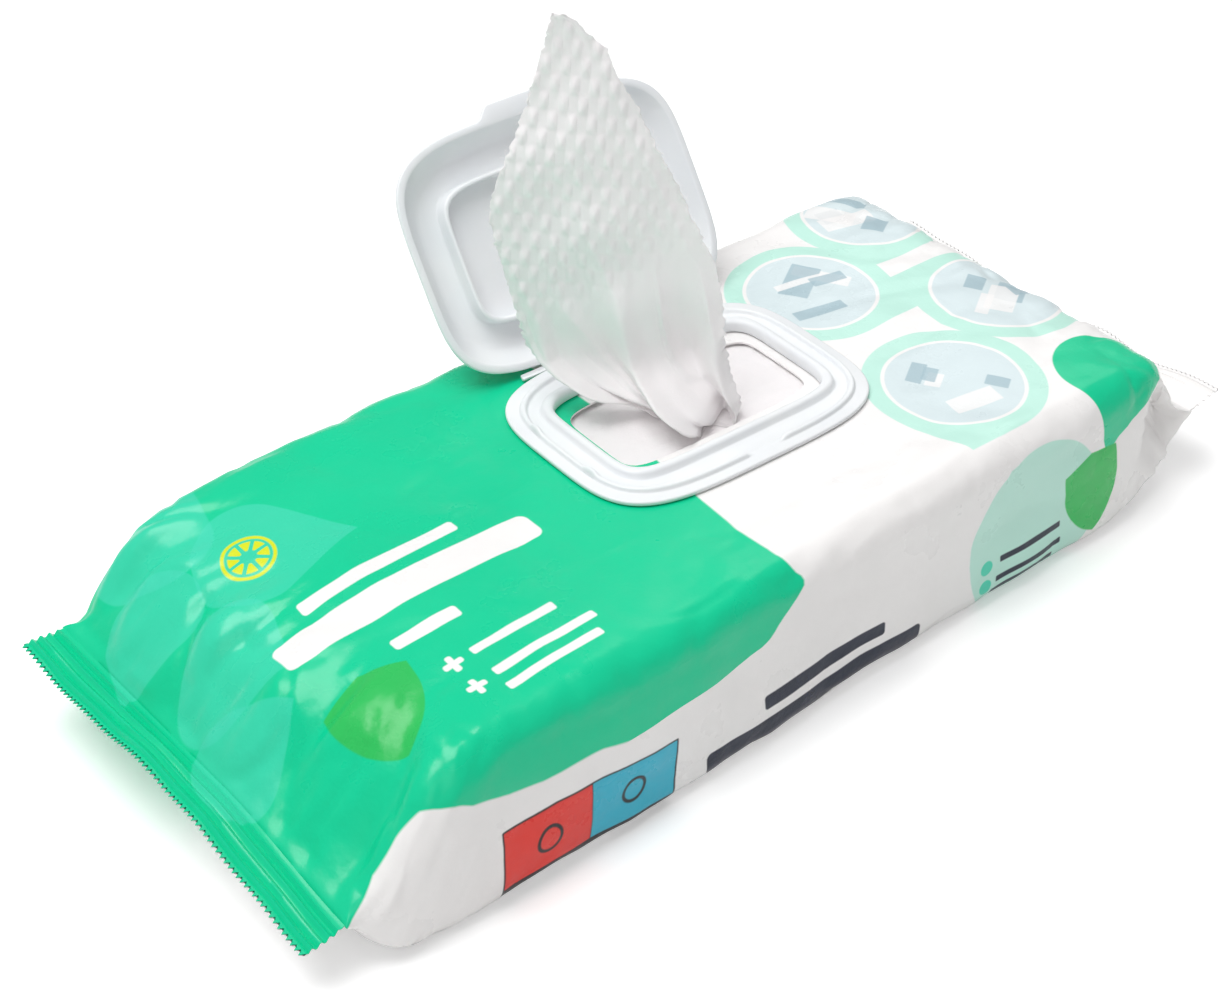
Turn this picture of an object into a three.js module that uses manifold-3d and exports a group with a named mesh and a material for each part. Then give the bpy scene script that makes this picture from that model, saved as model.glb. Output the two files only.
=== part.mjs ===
import * as THREE from 'three';
import Module from 'manifold-3d';

const wasm = await Module();
wasm.setup();
const { Manifold, Mesh } = wasm;

// Driving dimensions, millimetres. Bottom centre of the packet is the origin,
// +X runs along the packet, +Y towards the hinge side, +Z up.
const packHeight = 45.65;
const packHalfWidth = 59;
const topEdgeRadius = 8;
const bottomEdgeRadius = 6;
const filmWall = 0.8;
const fitGap = 0.3;

// End seals
const leftSealOuterX = -146;
const leftSealLength = 11;
const leftSealInnerX = leftSealOuterX + leftSealLength;
const leftSealZ = packHeight * 0.45;
const rightSealOuterX = 144;
const rightSealLength = 12;
const rightSealInnerX = rightSealOuterX - rightSealLength;
const rightSealZ = packHeight * 0.48;
const sealNarrowing = 3;
const sealHalfWidth = packHalfWidth - sealNarrowing;
const sealThickness = 1.0;
const crimpRibs = 4;
const crimpRibHeight = 0.35;
const crimpPitch = 2.2;
const crimpRibWidth = 1.0;
const crimpEdgeMargin = 1.6;
const crimpEndMargin = 1;
const toothPitch = 1.6;
const toothDepth = 1.3;

// Sag of the top film towards the left seal's front corner
const frontSag = 7;
const frontSagLength = 32;
const frontDroop = 7.5;
const droopStartX = leftSealInnerX + 23;
const droopEndX = leftSealOuterX + 2;

// Folds that fan out of the left seal: place across, slant; depth and half width
const foldPlaces = [[-45, 0.35], [-22, 0.2], [2, -0.1], [25, -0.25], [46, -0.4]];
const foldDepth = 2.4;
const foldHalfWidth = 6;
const foldRootX = leftSealInnerX + 51;
const foldDeepX = leftSealInnerX + 17;

// Gusset drawn in under the top film at the right end
const tuckDepth = 8;
const tuckStartX = rightSealInnerX - 24;
const tuckFullX = rightSealInnerX - 12;

// Underside lap seam
const seamHalfWidth = 7;
const seamLineWidth = 0.6;
const seamLineDepth = 0.3;
const seamLineLength = 196;
const seamShiftX = -6;

// Closure position on the top face
const closureX = 12;
const closureY = 5.5;
const closureSkewDeg = -1.9;

// Closure base
const flangeHalfX = 42;
const flangeHalfY = 30.8;
const flangePower = 4;
const flangeThickness = 1.2;
const beadInset = 3.0;
const beadWidth = 1.4;
const beadRise = 1.1;
const beadSideStep = 0.5;
const notchHalfWidth = 4.8;
const notchCentreX = 1;
const nubRise = 0.9;
const nubHalfWidth = 1.6;
const nubOffsetY = 10.5;
const shelfWidthX = 8.4;
const shelfWidthY = 9.7;
const collarHalfX = flangeHalfX - shelfWidthX;
const collarHalfY = flangeHalfY - shelfWidthY;
const collarPower = 6.3;
const collarWidth = 2.6;
const collarRise = 1.9;

// Die-cut mouth in the film
const filmLipX = 2.5;
const filmLipY = 4.5;
const mouthHalfX = collarHalfX - collarWidth - filmLipX;
const mouthHalfY = collarHalfY - collarWidth - filmLipY;
const mouthPower = 7;

// Lid
const lidOverhangX = 0.9;
const lidSetbackY = 0.3;
const lidHalfX = flangeHalfX + lidOverhangX;
const lidHalfY = flangeHalfY - lidSetbackY;
const lidPower = 4.4;
const lidWall = 1.2;
const lidDepth = 6.2;
const lidWallLean = 5.2;
const lidRimWidth = 1.9;
const plugRidgeWidth = 1.1;
const plugRidgeGap = 0.4;
const plugRidgeDrop = 4.0;
const tabHalfWidth = 11;
const tabReach = 3.2;
const tabEase = 4;
const tabThickness = 1.3;
const lidOpenDeg = 124.65;
const hingeSetback = 0.6;
const hingeAxisY = flangeHalfY + hingeSetback;
const hingeAxisZ = 1.0;

// Living hinge web
const webThickness = 0.45;
const webEndMargin = 15;
const webHalfLength = flangeHalfX - webEndMargin;
const webGap = 0.3;

// Stack of folded wipes
const wipeCount = 40;
const stackHeadroom = 2.05;
const wipePitch = (packHeight - 2 * filmWall - stackHeadroom) / wipeCount;
const wipeFoldedThickness = wipePitch - fitGap;
const wipeHalfLength = 102;
const wipeSideClearance = 6;
const wipeHalfWidth = packHalfWidth - wipeSideClearance;
const stackBottomShiftX = -11;
const stackTopShiftX = 8;

// Pulled wipe
const sheetThickness = 0.8;
const sheetColumns = 54;
const sheetRows = 30;
const sheetPleats = 3;
// Facing direction of the raised sheet, seen from the front left
const sheetAcross = new THREE.Vector3(0.765, -0.644, 0);
const sheetOut = new THREE.Vector3(-0.644, -0.765, 0);
// Height above the top face, left side, right side, pleat depth
const sheetOutline = [
  [-2.15, -8.5, 11.5, 5.2],
  [2.4, -13, 11, 5.2],
  [5.4, -24, 10.7, 5.4],
  [9.4, -35, 10, 5.6],
  [13.6, -39.9, 9, 5.6],
  [26.4, -41.6, 7.7, 5.2],
  [39.4, -44.1, 5.5, 4.6],
  [49.4, -46.4, 0.8, 4.0],
  [56.4, -46.9, -2.2, 3.4],
  [64.4, -44.1, -5.8, 2.8],
  [71.9, -40.6, -9.2, 2.4],
  [81.9, -37.5, -14.5, 2.0],
  [91.8, -34.6, -19.3, 1.6],
  [99, -32.8, -24.7, 1.2],
  [103, -31.9, -29.4, 1.0],
];

const topZ = packHeight;

function superellipseRing(halfX, halfY, power, count) {
  const fine = 1440;
  const pts = [];
  const point = (t) => {
    const c = Math.cos(t);
    const s = Math.sin(t);
    const k = Math.pow(Math.pow(Math.abs(c), power) + Math.pow(Math.abs(s), power), -1 / power);
    return [halfX * c * k, halfY * s * k];
  };
  const len = [0];
  for (let i = 0; i <= fine; i += 1) {
    pts.push(point((i / fine) * Math.PI * 2));
    if (i > 0) {
      const dx = pts[i][0] - pts[i - 1][0];
      const dy = pts[i][1] - pts[i - 1][1];
      len.push(len[i - 1] + Math.hypot(dx, dy));
    }
  }
  const total = len[fine];
  const out = [];
  let j = 0;
  for (let i = 0; i < count; i += 1) {
    const want = (i / count) * total;
    while (len[j + 1] < want) {
      j += 1;
    }
    const f = (want - len[j]) / (len[j + 1] - len[j]);
    out.push([
      pts[j][0] + f * (pts[j + 1][0] - pts[j][0]),
      pts[j][1] + f * (pts[j + 1][1] - pts[j][1]),
    ]);
  }
  return out;
}

function meshFromArrays(positions, indices) {
  const g = new THREE.BufferGeometry();
  g.setAttribute('position', new THREE.Float32BufferAttribute(positions, 3));
  g.setIndex(indices);
  g.computeVertexNormals();
  return g;
}

function signedVolume(positions, indices) {
  let v = 0;
  for (let i = 0; i < indices.length; i += 3) {
    const a = indices[i] * 3;
    const b = indices[i + 1] * 3;
    const c = indices[i + 2] * 3;
    v += positions[a] * (positions[b + 1] * positions[c + 2] - positions[b + 2] * positions[c + 1]);
    v -= positions[a + 1] * (positions[b] * positions[c + 2] - positions[b + 2] * positions[c]);
    v += positions[a + 2] * (positions[b] * positions[c + 1] - positions[b + 1] * positions[c]);
  }
  return v / 6;
}

function outward(positions, indices) {
  if (signedVolume(positions, indices) < 0) {
    for (let i = 0; i < indices.length; i += 3) {
      const keep = indices[i + 1];
      indices[i + 1] = indices[i + 2];
      indices[i + 2] = keep;
    }
  }
  return meshFromArrays(positions, indices);
}

// Rings joined one to the next; either the last joins the first, or both ends are capped.
function ringLoft(rings, closedLoop) {
  const n = rings[0].length;
  const positions = [];
  const indices = [];
  for (const ring of rings) {
    for (const p of ring) {
      positions.push(p[0], p[1], p[2]);
    }
  }
  const last = closedLoop ? rings.length : rings.length - 1;
  for (let r = 0; r < last; r += 1) {
    const s = (r + 1) % rings.length;
    for (let i = 0; i < n; i += 1) {
      const k = (i + 1) % n;
      indices.push(r * n + i, r * n + k, s * n + k);
      indices.push(r * n + i, s * n + k, s * n + i);
    }
  }
  if (!closedLoop) {
    for (const r of [0, rings.length - 1]) {
      const c = [0, 0, 0];
      for (const p of rings[r]) {
        c[0] += p[0] / n;
        c[1] += p[1] / n;
        c[2] += p[2] / n;
      }
      const centre = positions.length / 3;
      positions.push(c[0], c[1], c[2]);
      for (let i = 0; i < n; i += 1) {
        const k = (i + 1) % n;
        if (r === 0) {
          indices.push(centre, r * n + k, r * n + i);
        } else {
          indices.push(centre, r * n + i, r * n + k);
        }
      }
    }
  }
  return outward(positions, indices);
}

function toManifold(geometry) {
  const pos = geometry.getAttribute('position');
  const mesh = new Mesh({
    numProp: 3,
    vertProperties: new Float32Array(pos.array),
    triVerts: new Uint32Array(geometry.getIndex().array),
  });
  mesh.merge();
  return new Manifold(mesh);
}

function fromManifold(solid) {
  const mesh = solid.getMesh();
  const positions = [];
  for (let i = 0; i < mesh.numVert; i += 1) {
    for (let k = 0; k < 3; k += 1) {
      positions.push(mesh.vertProperties[i * mesh.numProp + k]);
    }
  }
  return meshFromArrays(positions, Array.from(mesh.triVerts));
}

function interpolate(table, x, column) {
  if (x <= table[0][0]) {
    return table[0][column];
  }
  for (let i = 1; i < table.length; i += 1) {
    if (x <= table[i][0]) {
      const f = (x - table[i - 1][0]) / (table[i][0] - table[i - 1][0]);
      return table[i - 1][column] + f * (table[i][column] - table[i - 1][column]);
    }
  }
  return table[table.length - 1][column];
}

// Film body between its seals. Each end is written from the seal inwards: distance along
// the packet, underside as a share of the seal's height, top as a share of the rise from
// the seal to the top face, and how much narrower the half width is than the body's.
const halfSeal = sealThickness / 2;
const leftEnd = [
  [0, 1, 0, 2.4],
  [3, 0.74, 0.11, 2],
  [6, 0.44, 0.26, 1.6],
  [9, 0.19, 0.40, 1.2],
  [12, 0.05, 0.53, 0.9],
  [14.5, 0, 0.64, 0.7],
  [17, 0, 0.73, 0.5],
  [22, 0, 0.84, 0.3],
  [29, 0, 0.91, 0],
  [38, 0, 0.95, 0],
  [48, 0, 0.98, 0],
  [63, 0, 1, 0],
];
const rightEnd = [
  [0, 1, 0, 2.4],
  [2.5, 0.82, 0.06, 2],
  [5, 0.60, 0.15, 1.7],
  [7.5, 0.42, 0.36, 1.4],
  [10, 0.31, 0.62, 1.2],
  [13, 0.23, 0.83, 1],
  [17, 0.15, 0.94, 0.7],
  [22, 0.08, 0.98, 0.4],
  [27, 0.03, 0.995, 0.2],
  [33, 0, 1, 0],
  [40, 0, 1, 0],
];

function endRow(row, innerX, inward, sealZ) {
  const rise = packHeight - sealZ;
  const under = (sealZ - halfSeal) * row[1];
  const over = sealZ + halfSeal + (rise - halfSeal) * row[2];
  return [innerX + inward * row[0], under, over, packHalfWidth - row[3]];
}

const leftRows = leftEnd.map((row) => endRow(row, leftSealInnerX, 1, leftSealZ));
const rightRows = rightEnd.map((row) => endRow(row, rightSealInnerX, -1, rightSealZ)).reverse();
const bodyStart = leftRows[leftRows.length - 1][0];
const bodyEnd = rightRows[0][0];
const bodyStations = 4;
const bodyRows = [];
for (let i = 1; i <= bodyStations; i += 1) {
  const x = bodyStart + ((bodyEnd - bodyStart) * i) / (bodyStations + 1);
  bodyRows.push([x, 0, packHeight, packHalfWidth]);
}
const filmProfile = leftRows.concat(bodyRows, rightRows);

const cornerSteps = 5;
const flatSteps = 15;
const sideSteps = 4;

// How far the top film hangs down near the left seal's front corner
function sagAt(x, y) {
  const along = THREE.MathUtils.smoothstep(leftSealInnerX + frontSagLength - x, 0, frontSagLength * 0.6);
  const atSeal = THREE.MathUtils.smoothstep(x - leftSealInnerX, 0, frontSagLength * 0.3);
  const across = THREE.MathUtils.smoothstep(-y, 0, packHalfWidth);
  return frontSag * along * atSeal * across;
}

// How far the film next to the left seal hangs down in front
function droopAt(x, y) {
  const along = THREE.MathUtils.smoothstep(droopStartX - x, 0, droopStartX - droopEndX);
  const atSeal = THREE.MathUtils.smoothstep(x - leftSealInnerX, 0, 6);
  return frontDroop * along * atSeal * THREE.MathUtils.smoothstep(-y, 12, packHalfWidth - 1);
}

// Depth of the folds that fan out of the left seal
function foldAt(x, y) {
  const along = THREE.MathUtils.smoothstep(foldRootX - x, 0, foldRootX - foldDeepX);
  const atSeal = THREE.MathUtils.smoothstep(x - leftSealInnerX, 0, 6);
  let depth = 0;
  for (const [place, slant] of foldPlaces) {
    const off = (y - place - slant * (x - foldDeepX)) / foldHalfWidth;
    depth += Math.exp(-off * off);
  }
  return foldDepth * depth * along * atSeal;
}

// How far the right end's sides are drawn in, at a share of the section's height
function tuckAt(x, y, share) {
  const along = THREE.MathUtils.smoothstep(x, tuckStartX, tuckFullX);
  const atSeal = THREE.MathUtils.smoothstep(rightSealInnerX - x, 0, 7);
  const below = THREE.MathUtils.smoothstep(1 - share, 0.1, 0.34);
  const above = THREE.MathUtils.smoothstep(share, 0.08, 0.6);
  return tuckDepth * along * atSeal * below * above * THREE.MathUtils.smoothstep(Math.abs(y), 30, 56);
}

function sectionRing(x, bottom, top, half, rTop, rBottom) {
  const h = top - bottom;
  const rt = Math.min(rTop, h * 0.46);
  const rb = Math.min(rBottom, h * 0.46);
  const ring = [];
  const corner = (cy, cz, r, from) => {
    for (let i = 0; i <= cornerSteps; i += 1) {
      const t = from + (i / cornerSteps) * (Math.PI / 2);
      ring.push([x, cy + r * Math.cos(t), cz + r * Math.sin(t)]);
    }
  };
  const run = (y0, z0, y1, z1, steps) => {
    for (let i = 1; i < steps; i += 1) {
      ring.push([x, y0 + (y1 - y0) * (i / steps), z0 + (z1 - z0) * (i / steps)]);
    }
  };
  corner(half - rt, top - rt, rt, 0);
  run(half - rt, top, -(half - rt), top, flatSteps);
  corner(-(half - rt), top - rt, rt, Math.PI / 2);
  run(-half, top - rt, -half, bottom + rb, sideSteps);
  corner(-(half - rb), bottom + rb, rb, Math.PI);
  run(-(half - rb), bottom, half - rb, bottom, flatSteps);
  corner(half - rb, bottom + rb, rb, Math.PI * 1.5);
  run(half, bottom + rb, half, top - rt, sideSteps);
  return ring.map((p) => {
    const share = (p[2] - bottom) / h;
    const fold = foldAt(x, p[1]) * THREE.MathUtils.smoothstep(share * h, h * 0.6, h) * Math.min(1, h / 30);
    const sunk = droopAt(x, p[1]) * THREE.MathUtils.smoothstep(p[2], 2, 14);
    const y = p[1] - Math.sign(p[1]) * tuckAt(x, p[1], share);
    return [p[0], y, p[2] - sagAt(x, p[1]) * share - fold - sunk];
  });
}

function boxGeometry(x0, x1, y0, y1, z0, z1) {
  const g = new THREE.BoxGeometry(x1 - x0, y1 - y0, z1 - z0);
  g.translate((x0 + x1) / 2, (y0 + y1) / 2, (z0 + z1) / 2);
  g.deleteAttribute('uv');
  g.deleteAttribute('normal');
  return g;
}

function crimpedSeal(innerX, outerX, z) {
  const side = Math.sign(outerX - innerX);
  const shape = new THREE.Shape();
  const teeth = Math.round((2 * sealHalfWidth) / toothPitch);
  const step = (2 * sealHalfWidth) / teeth;
  const overlap = 1.0;
  shape.moveTo(innerX - side * overlap, -sealHalfWidth);
  for (let i = 0; i < teeth; i += 1) {
    shape.lineTo(outerX - side * toothDepth, -sealHalfWidth + i * step);
    shape.lineTo(outerX, -sealHalfWidth + (i + 0.5) * step);
  }
  shape.lineTo(outerX - side * toothDepth, sealHalfWidth);
  shape.lineTo(innerX - side * overlap, sealHalfWidth);
  shape.closePath();
  const g = new THREE.ExtrudeGeometry(shape, { depth: sealThickness, bevelEnabled: false });
  g.translate(0, 0, z - halfSeal);
  g.deleteAttribute('uv');
  g.deleteAttribute('normal');
  let solid = manifoldOfSoup(g);
  for (let i = 0; i < crimpRibs; i += 1) {
    const mid = outerX - side * (toothDepth + crimpEdgeMargin + i * crimpPitch);
    const rib = boxGeometry(
      mid - crimpRibWidth / 2, mid + crimpRibWidth / 2,
      -sealHalfWidth + crimpEndMargin, sealHalfWidth - crimpEndMargin,
      z - halfSeal - crimpRibHeight, z + halfSeal + crimpRibHeight,
    );
    solid = solid.add(manifoldOfSoup(rib));
  }
  return solid;
}

function manifoldOfSoup(geometry) {
  const pos = geometry.getAttribute('position').array;
  const index = geometry.getIndex();
  const tri = index ? Uint32Array.from(index.array) : Uint32Array.from({ length: pos.length / 3 }, (_, i) => i);
  const mesh = new Mesh({
    numProp: 3,
    vertProperties: new Float32Array(pos),
    triVerts: tri,
  });
  mesh.merge();
  return new Manifold(mesh);
}

function placeOnTop(p) {
  const a = THREE.MathUtils.degToRad(closureSkewDeg);
  const c = Math.cos(a);
  const s = Math.sin(a);
  return [closureX + c * p[0] - s * p[1], closureY + s * p[0] + c * p[1], topZ + fitGap + p[2]];
}

function filmWrapper() {
  const outerRings = filmProfile.map((p) => (
    sectionRing(p[0], p[1], p[2], p[3], topEdgeRadius, bottomEdgeRadius)
  ));
  let solid = toManifold(ringLoft(outerRings, false));
  const innerRings = filmProfile
    .filter((p) => p[2] - p[1] > 3 * bottomEdgeRadius)
    .map((p) => sectionRing(
      p[0], p[1] + filmWall, p[2] - filmWall, p[3] - filmWall,
      topEdgeRadius - filmWall, bottomEdgeRadius - filmWall,
    ));
  solid = solid.subtract(toManifold(ringLoft(innerRings, false)));
  const mouth = superellipseRing(mouthHalfX, mouthHalfY, mouthPower, 56);
  const mouthRings = [-4, 4].map((z) => mouth.map((p) => placeOnTop([p[0], p[1], z])));
  solid = solid.subtract(toManifold(ringLoft(mouthRings, false)));
  solid = solid.add(crimpedSeal(leftSealInnerX, leftSealOuterX, leftSealZ));
  solid = solid.add(crimpedSeal(rightSealInnerX, rightSealOuterX, rightSealZ));
  for (const side of [-1, 1]) {
    const y = side * seamHalfWidth;
    const line = boxGeometry(
      seamShiftX - seamLineLength / 2, seamShiftX + seamLineLength / 2,
      y - seamLineWidth / 2, y + seamLineWidth / 2,
      -1, seamLineDepth,
    );
    solid = solid.subtract(manifoldOfSoup(line));
  }
  return fromManifold(solid);
}

const closureRingCount = 112;

function closureRing(halfX, halfY, power, height) {
  return superellipseRing(halfX, halfY, power, closureRingCount).map((p) => {
    const z = typeof height === 'function' ? height(p[0], p[1]) : height;
    return placeOnTop([p[0], p[1], z]);
  });
}

function beadTop(x, y) {
  let z = flangeThickness + beadRise;
  if (y < 0) {
    const d = Math.abs(x - notchCentreX);
    const t = THREE.MathUtils.clamp((notchHalfWidth + 0.8 - d) / 1.6, 0, 1);
    z -= beadRise * 0.85 * t;
  }
  if (x < 0) {
    for (const cy of [-nubOffsetY, nubOffsetY]) {
      const t = THREE.MathUtils.clamp((nubHalfWidth + 0.6 - Math.abs(y - cy)) / 1.2, 0, 1);
      z += nubRise * t;
    }
  }
  return z;
}

function closureBase() {
  const outX = flangeHalfX;
  const outY = flangeHalfY;
  const bx = outX - beadInset;
  const by = outY - beadInset;
  const t = flangeThickness;
  const inX = collarHalfX - collarWidth;
  const inY = collarHalfY - collarWidth;
  const crest = t + collarRise;
  const low = (x, y) => Math.max(t + 0.02, beadTop(x, y) - beadSideStep);
  const rings = [
    closureRing(outX - 0.3, outY - 0.3, flangePower, 0),
    closureRing(outX, outY, flangePower, 0.3),
    closureRing(outX, outY, flangePower, t - 0.3),
    closureRing(outX - 0.3, outY - 0.3, flangePower, t),
    closureRing(bx, by, flangePower, t),
    closureRing(bx - 0.12, by - 0.12, flangePower, low),
    closureRing(bx - 0.4, by - 0.4, flangePower, beadTop),
    closureRing(bx - beadWidth + 0.3, by - beadWidth + 0.3, flangePower, beadTop),
    closureRing(bx - beadWidth, by - beadWidth, flangePower, t),
    closureRing(collarHalfX, collarHalfY, collarPower, t),
    closureRing(collarHalfX - 0.25, collarHalfY - 0.25, collarPower, crest - 0.7),
    closureRing(collarHalfX - 0.8, collarHalfY - 0.8, collarPower, crest),
    closureRing(inX + 0.8, inY + 0.8, collarPower, crest),
    closureRing(inX + 0.2, inY + 0.2, collarPower, crest - 0.7),
    closureRing(inX, inY, collarPower, 0),
  ];
  return ringLoft(rings, true);
}

// Lid modelled shut over the base, then swung open about the hinge line.
function openLid(p) {
  const a = THREE.MathUtils.degToRad(lidOpenDeg);
  const y = p[1] - hingeAxisY;
  const z = p[2] - hingeAxisZ;
  const c = Math.cos(a);
  const s = Math.sin(a);
  return placeOnTop([p[0], hingeAxisY + c * y + s * z, hingeAxisZ - s * y + c * z]);
}

const lidRimZ = flangeThickness + fitGap;
const lidRoofZ = lidRimZ + lidDepth;

function lidRing(halfX, halfY, power, height, reach) {
  return superellipseRing(halfX, halfY, power, closureRingCount).map((p) => {
    let y = p[1];
    if (reach && y < 0) {
      const t = THREE.MathUtils.smoothstep(tabHalfWidth + tabEase / 2 - Math.abs(p[0]), 0, tabEase);
      y -= reach * t;
    }
    return openLid([p[0], y, height]);
  });
}

function closureLid() {
  const topX = lidHalfX - lidWallLean;
  const topY = lidHalfY - lidWallLean;
  const rim = lidRimZ;
  const roof = lidRoofZ;
  const under = roof - lidWall;
  const plugX = collarHalfX - collarWidth - plugRidgeGap;
  const plugY = collarHalfY - collarWidth - plugRidgeGap;
  const plugZ = under - plugRidgeDrop;
  const rings = [
    lidRing(lidHalfX - lidRimWidth, lidHalfY - lidRimWidth, lidPower, rim, 0),
    lidRing(lidHalfX - 0.3, lidHalfY - 0.3, lidPower, rim, tabReach),
    lidRing(lidHalfX, lidHalfY, lidPower, rim + 0.3, tabReach),
    lidRing(lidHalfX, lidHalfY, lidPower, rim + tabThickness - 0.3, tabReach),
    lidRing(lidHalfX - 0.4, lidHalfY - 0.4, lidPower, rim + tabThickness, tabReach),
    lidRing(lidHalfX - 0.9, lidHalfY - 0.9, lidPower, rim + tabThickness + 0.1, 0),
    lidRing(topX + 2.2, topY + 2.2, lidPower, roof - 1.6, 0),
    lidRing(topX + 1.1, topY + 1.1, lidPower, roof - 0.45, 0),
    lidRing(topX - 0.6, topY - 0.6, lidPower, roof, 0),
    lidRing(topX * 0.5, topY * 0.5, lidPower, roof + 0.02, 0),
  ];
  const inner = [
    lidRing(topX * 0.5, topY * 0.5, lidPower, under, 0),
    lidRing(plugX - plugRidgeWidth, plugY - plugRidgeWidth, collarPower, under, 0),
    lidRing(plugX - plugRidgeWidth + 0.1, plugY - plugRidgeWidth + 0.1, collarPower, plugZ + 0.3, 0),
    lidRing(plugX - plugRidgeWidth + 0.35, plugY - plugRidgeWidth + 0.35, collarPower, plugZ, 0),
    lidRing(plugX - 0.3, plugY - 0.3, collarPower, plugZ, 0),
    lidRing(plugX, plugY, collarPower, plugZ + 0.35, 0),
    lidRing(plugX, plugY, collarPower, under, 0),
    lidRing(topX - 1.6, topY - 1.6, lidPower, under, 0),
    lidRing(topX - 0.2, topY - 0.2, lidPower, under - 0.9, 0),
    lidRing(lidHalfX - lidRimWidth - 0.4, lidHalfY - lidRimWidth - 0.4, lidPower, rim + tabThickness, 0),
  ];
  const outerSkin = rings.slice().reverse();
  const innerSkin = inner.slice().reverse();
  return ringLoft(outerSkin.concat(innerSkin), false);
}

// Thin web that joins the back edge of the base to the back edge of the lid.
function hingeWeb() {
  const y0 = flangeHalfY + webGap;
  const z0 = hingeAxisZ;
  const half = webThickness / 2;
  const a = THREE.MathUtils.degToRad(lidOpenDeg);
  const back = [lidHalfY - hingeAxisY + webGap * 2.2, lidRimZ - hingeAxisZ - webGap];
  const c = Math.cos(a);
  const s = Math.sin(a);
  const end = [
    hingeAxisY + c * back[0] + s * back[1],
    hingeAxisZ - s * back[0] + c * back[1],
  ];
  const mid = [hingeAxisY + 0.1, hingeAxisZ - 0.25];
  const line = [[y0, z0 - 0.3], mid, end];
  const rings = [];
  for (const x of [-webHalfLength, webHalfLength]) {
    const ring = [];
    for (const p of line) {
      ring.push(placeOnTop([x, p[0], p[1] - half]));
    }
    for (const p of line.slice().reverse()) {
      ring.push(placeOnTop([x, p[0], p[1] + half]));
    }
    rings.push(ring);
  }
  return ringLoft(rings, false);
}

function foldedWipe(index) {
  const f = wipeCount > 1 ? index / (wipeCount - 1) : 0;
  const cx = stackBottomShiftX + f * (stackTopShiftX - stackBottomShiftX);
  const z0 = filmWall + fitGap + index * wipePitch;
  const z1 = z0 + wipeFoldedThickness;
  const x0 = cx - wipeHalfLength;
  const x1 = cx + wipeHalfLength;
  const y = wipeHalfWidth;
  const fold = index % 2 === 0 ? 1 : -1;
  const r = wipeFoldedThickness / 2;
  const section = [];
  const zm = (z0 + z1) / 2;
  section.push([-fold * y, z0]);
  for (let i = 0; i <= 4; i += 1) {
    const t = -Math.PI / 2 + (i / 4) * Math.PI;
    section.push([fold * (y - r + r * Math.cos(t)), zm + r * Math.sin(t)]);
  }
  section.push([-fold * y, z1]);
  const rings = [x0, x1].map((x) => section.map((p) => [x, p[0], p[1]]));
  return ringLoft(rings, false);
}

function pulledWipe() {
  const zLow = sheetOutline[0][0];
  const zHigh = sheetOutline[sheetOutline.length - 1][0];
  const centre = (u, v) => {
    const rise = zLow + (zHigh - zLow) * v;
    const left = interpolate(sheetOutline, rise, 1);
    const right = interpolate(sheetOutline, rise, 2);
    const depth = interpolate(sheetOutline, rise, 3);
    const s = (left + right) / 2 + ((right - left) / 2) * u;
    const wave = Math.sin(u * Math.PI * sheetPleats + 0.9 + v * 1.6);
    const bow = 0.35 * Math.sin(u * Math.PI * 1.1 + 2.2 * v);
    const d = depth * (0.75 * wave + bow);
    return new THREE.Vector3(closureX, closureY, topZ + rise)
      .addScaledVector(sheetAcross, s)
      .addScaledVector(sheetOut, d);
  };
  const h = sheetThickness / 2;
  const grid = [];
  for (let j = 0; j <= sheetRows; j += 1) {
    const v = j / sheetRows;
    for (let i = 0; i <= sheetColumns; i += 1) {
      const u = -1 + (2 * i) / sheetColumns;
      const e = 1e-3;
      const p = centre(u, v);
      const du = centre(u + e, v).sub(centre(u - e, v));
      const dv = new THREE.Vector3(0, 0, 1);
      const n = du.cross(dv).normalize();
      grid.push([p, n]);
    }
  }
  const positions = [];
  for (const side of [1, -1]) {
    for (const [p, n] of grid) {
      positions.push(p.x + n.x * h * side, p.y + n.y * h * side, p.z);
    }
  }
  const w = sheetColumns + 1;
  const off = w * (sheetRows + 1);
  const indices = [];
  for (let j = 0; j < sheetRows; j += 1) {
    for (let i = 0; i < sheetColumns; i += 1) {
      const a = j * w + i;
      indices.push(a, a + 1, a + w + 1, a, a + w + 1, a + w);
      indices.push(off + a, off + a + w + 1, off + a + 1, off + a, off + a + w, off + a + w + 1);
    }
  }
  const edge = [];
  for (let i = 0; i < sheetColumns; i += 1) {
    edge.push([i, i + 1]);
    edge.push([sheetRows * w + i + 1, sheetRows * w + i]);
  }
  for (let j = 0; j < sheetRows; j += 1) {
    edge.push([(j + 1) * w, j * w]);
    edge.push([j * w + w - 1, (j + 1) * w + w - 1]);
  }
  for (const [a, b] of edge) {
    indices.push(b, a, off + a, b, off + a, off + b);
  }
  return outward(positions, indices);
}

const group = new THREE.Group();
group.name = 'wet_wipes_packet';

function addPart(name, geometry, color, roughness) {
  const material = new THREE.MeshStandardMaterial({ color, roughness, metalness: 0 });
  material.name = `${name}_material`;
  const mesh = new THREE.Mesh(geometry, material);
  mesh.name = name;
  group.add(mesh);
}

addPart('film_wrapper', filmWrapper(), 0x8fd9c0, 0.3);
addPart('closure_base', closureBase(), 0xeef1f5, 0.4);
addPart('closure_lid', closureLid(), 0xeef1f5, 0.4);
addPart('hinge_web', hingeWeb(), 0xe4e8ee, 0.45);
for (let i = 0; i < wipeCount; i += 1) {
  addPart(`wipe_${String(i + 1).padStart(2, '0')}`, foldedWipe(i), 0xf6f6f3, 0.9);
}
addPart('pulled_wipe', pulledWipe(), 0xf8f8f6, 0.9);

export default group;
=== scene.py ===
"""Wet wipes packet: printed film pack, flip-lid closure standing open and one wipe pulled up."""

from __future__ import annotations

import logging
import math
from dataclasses import dataclass
from enum import Enum
from typing import Callable, Sequence

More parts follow.
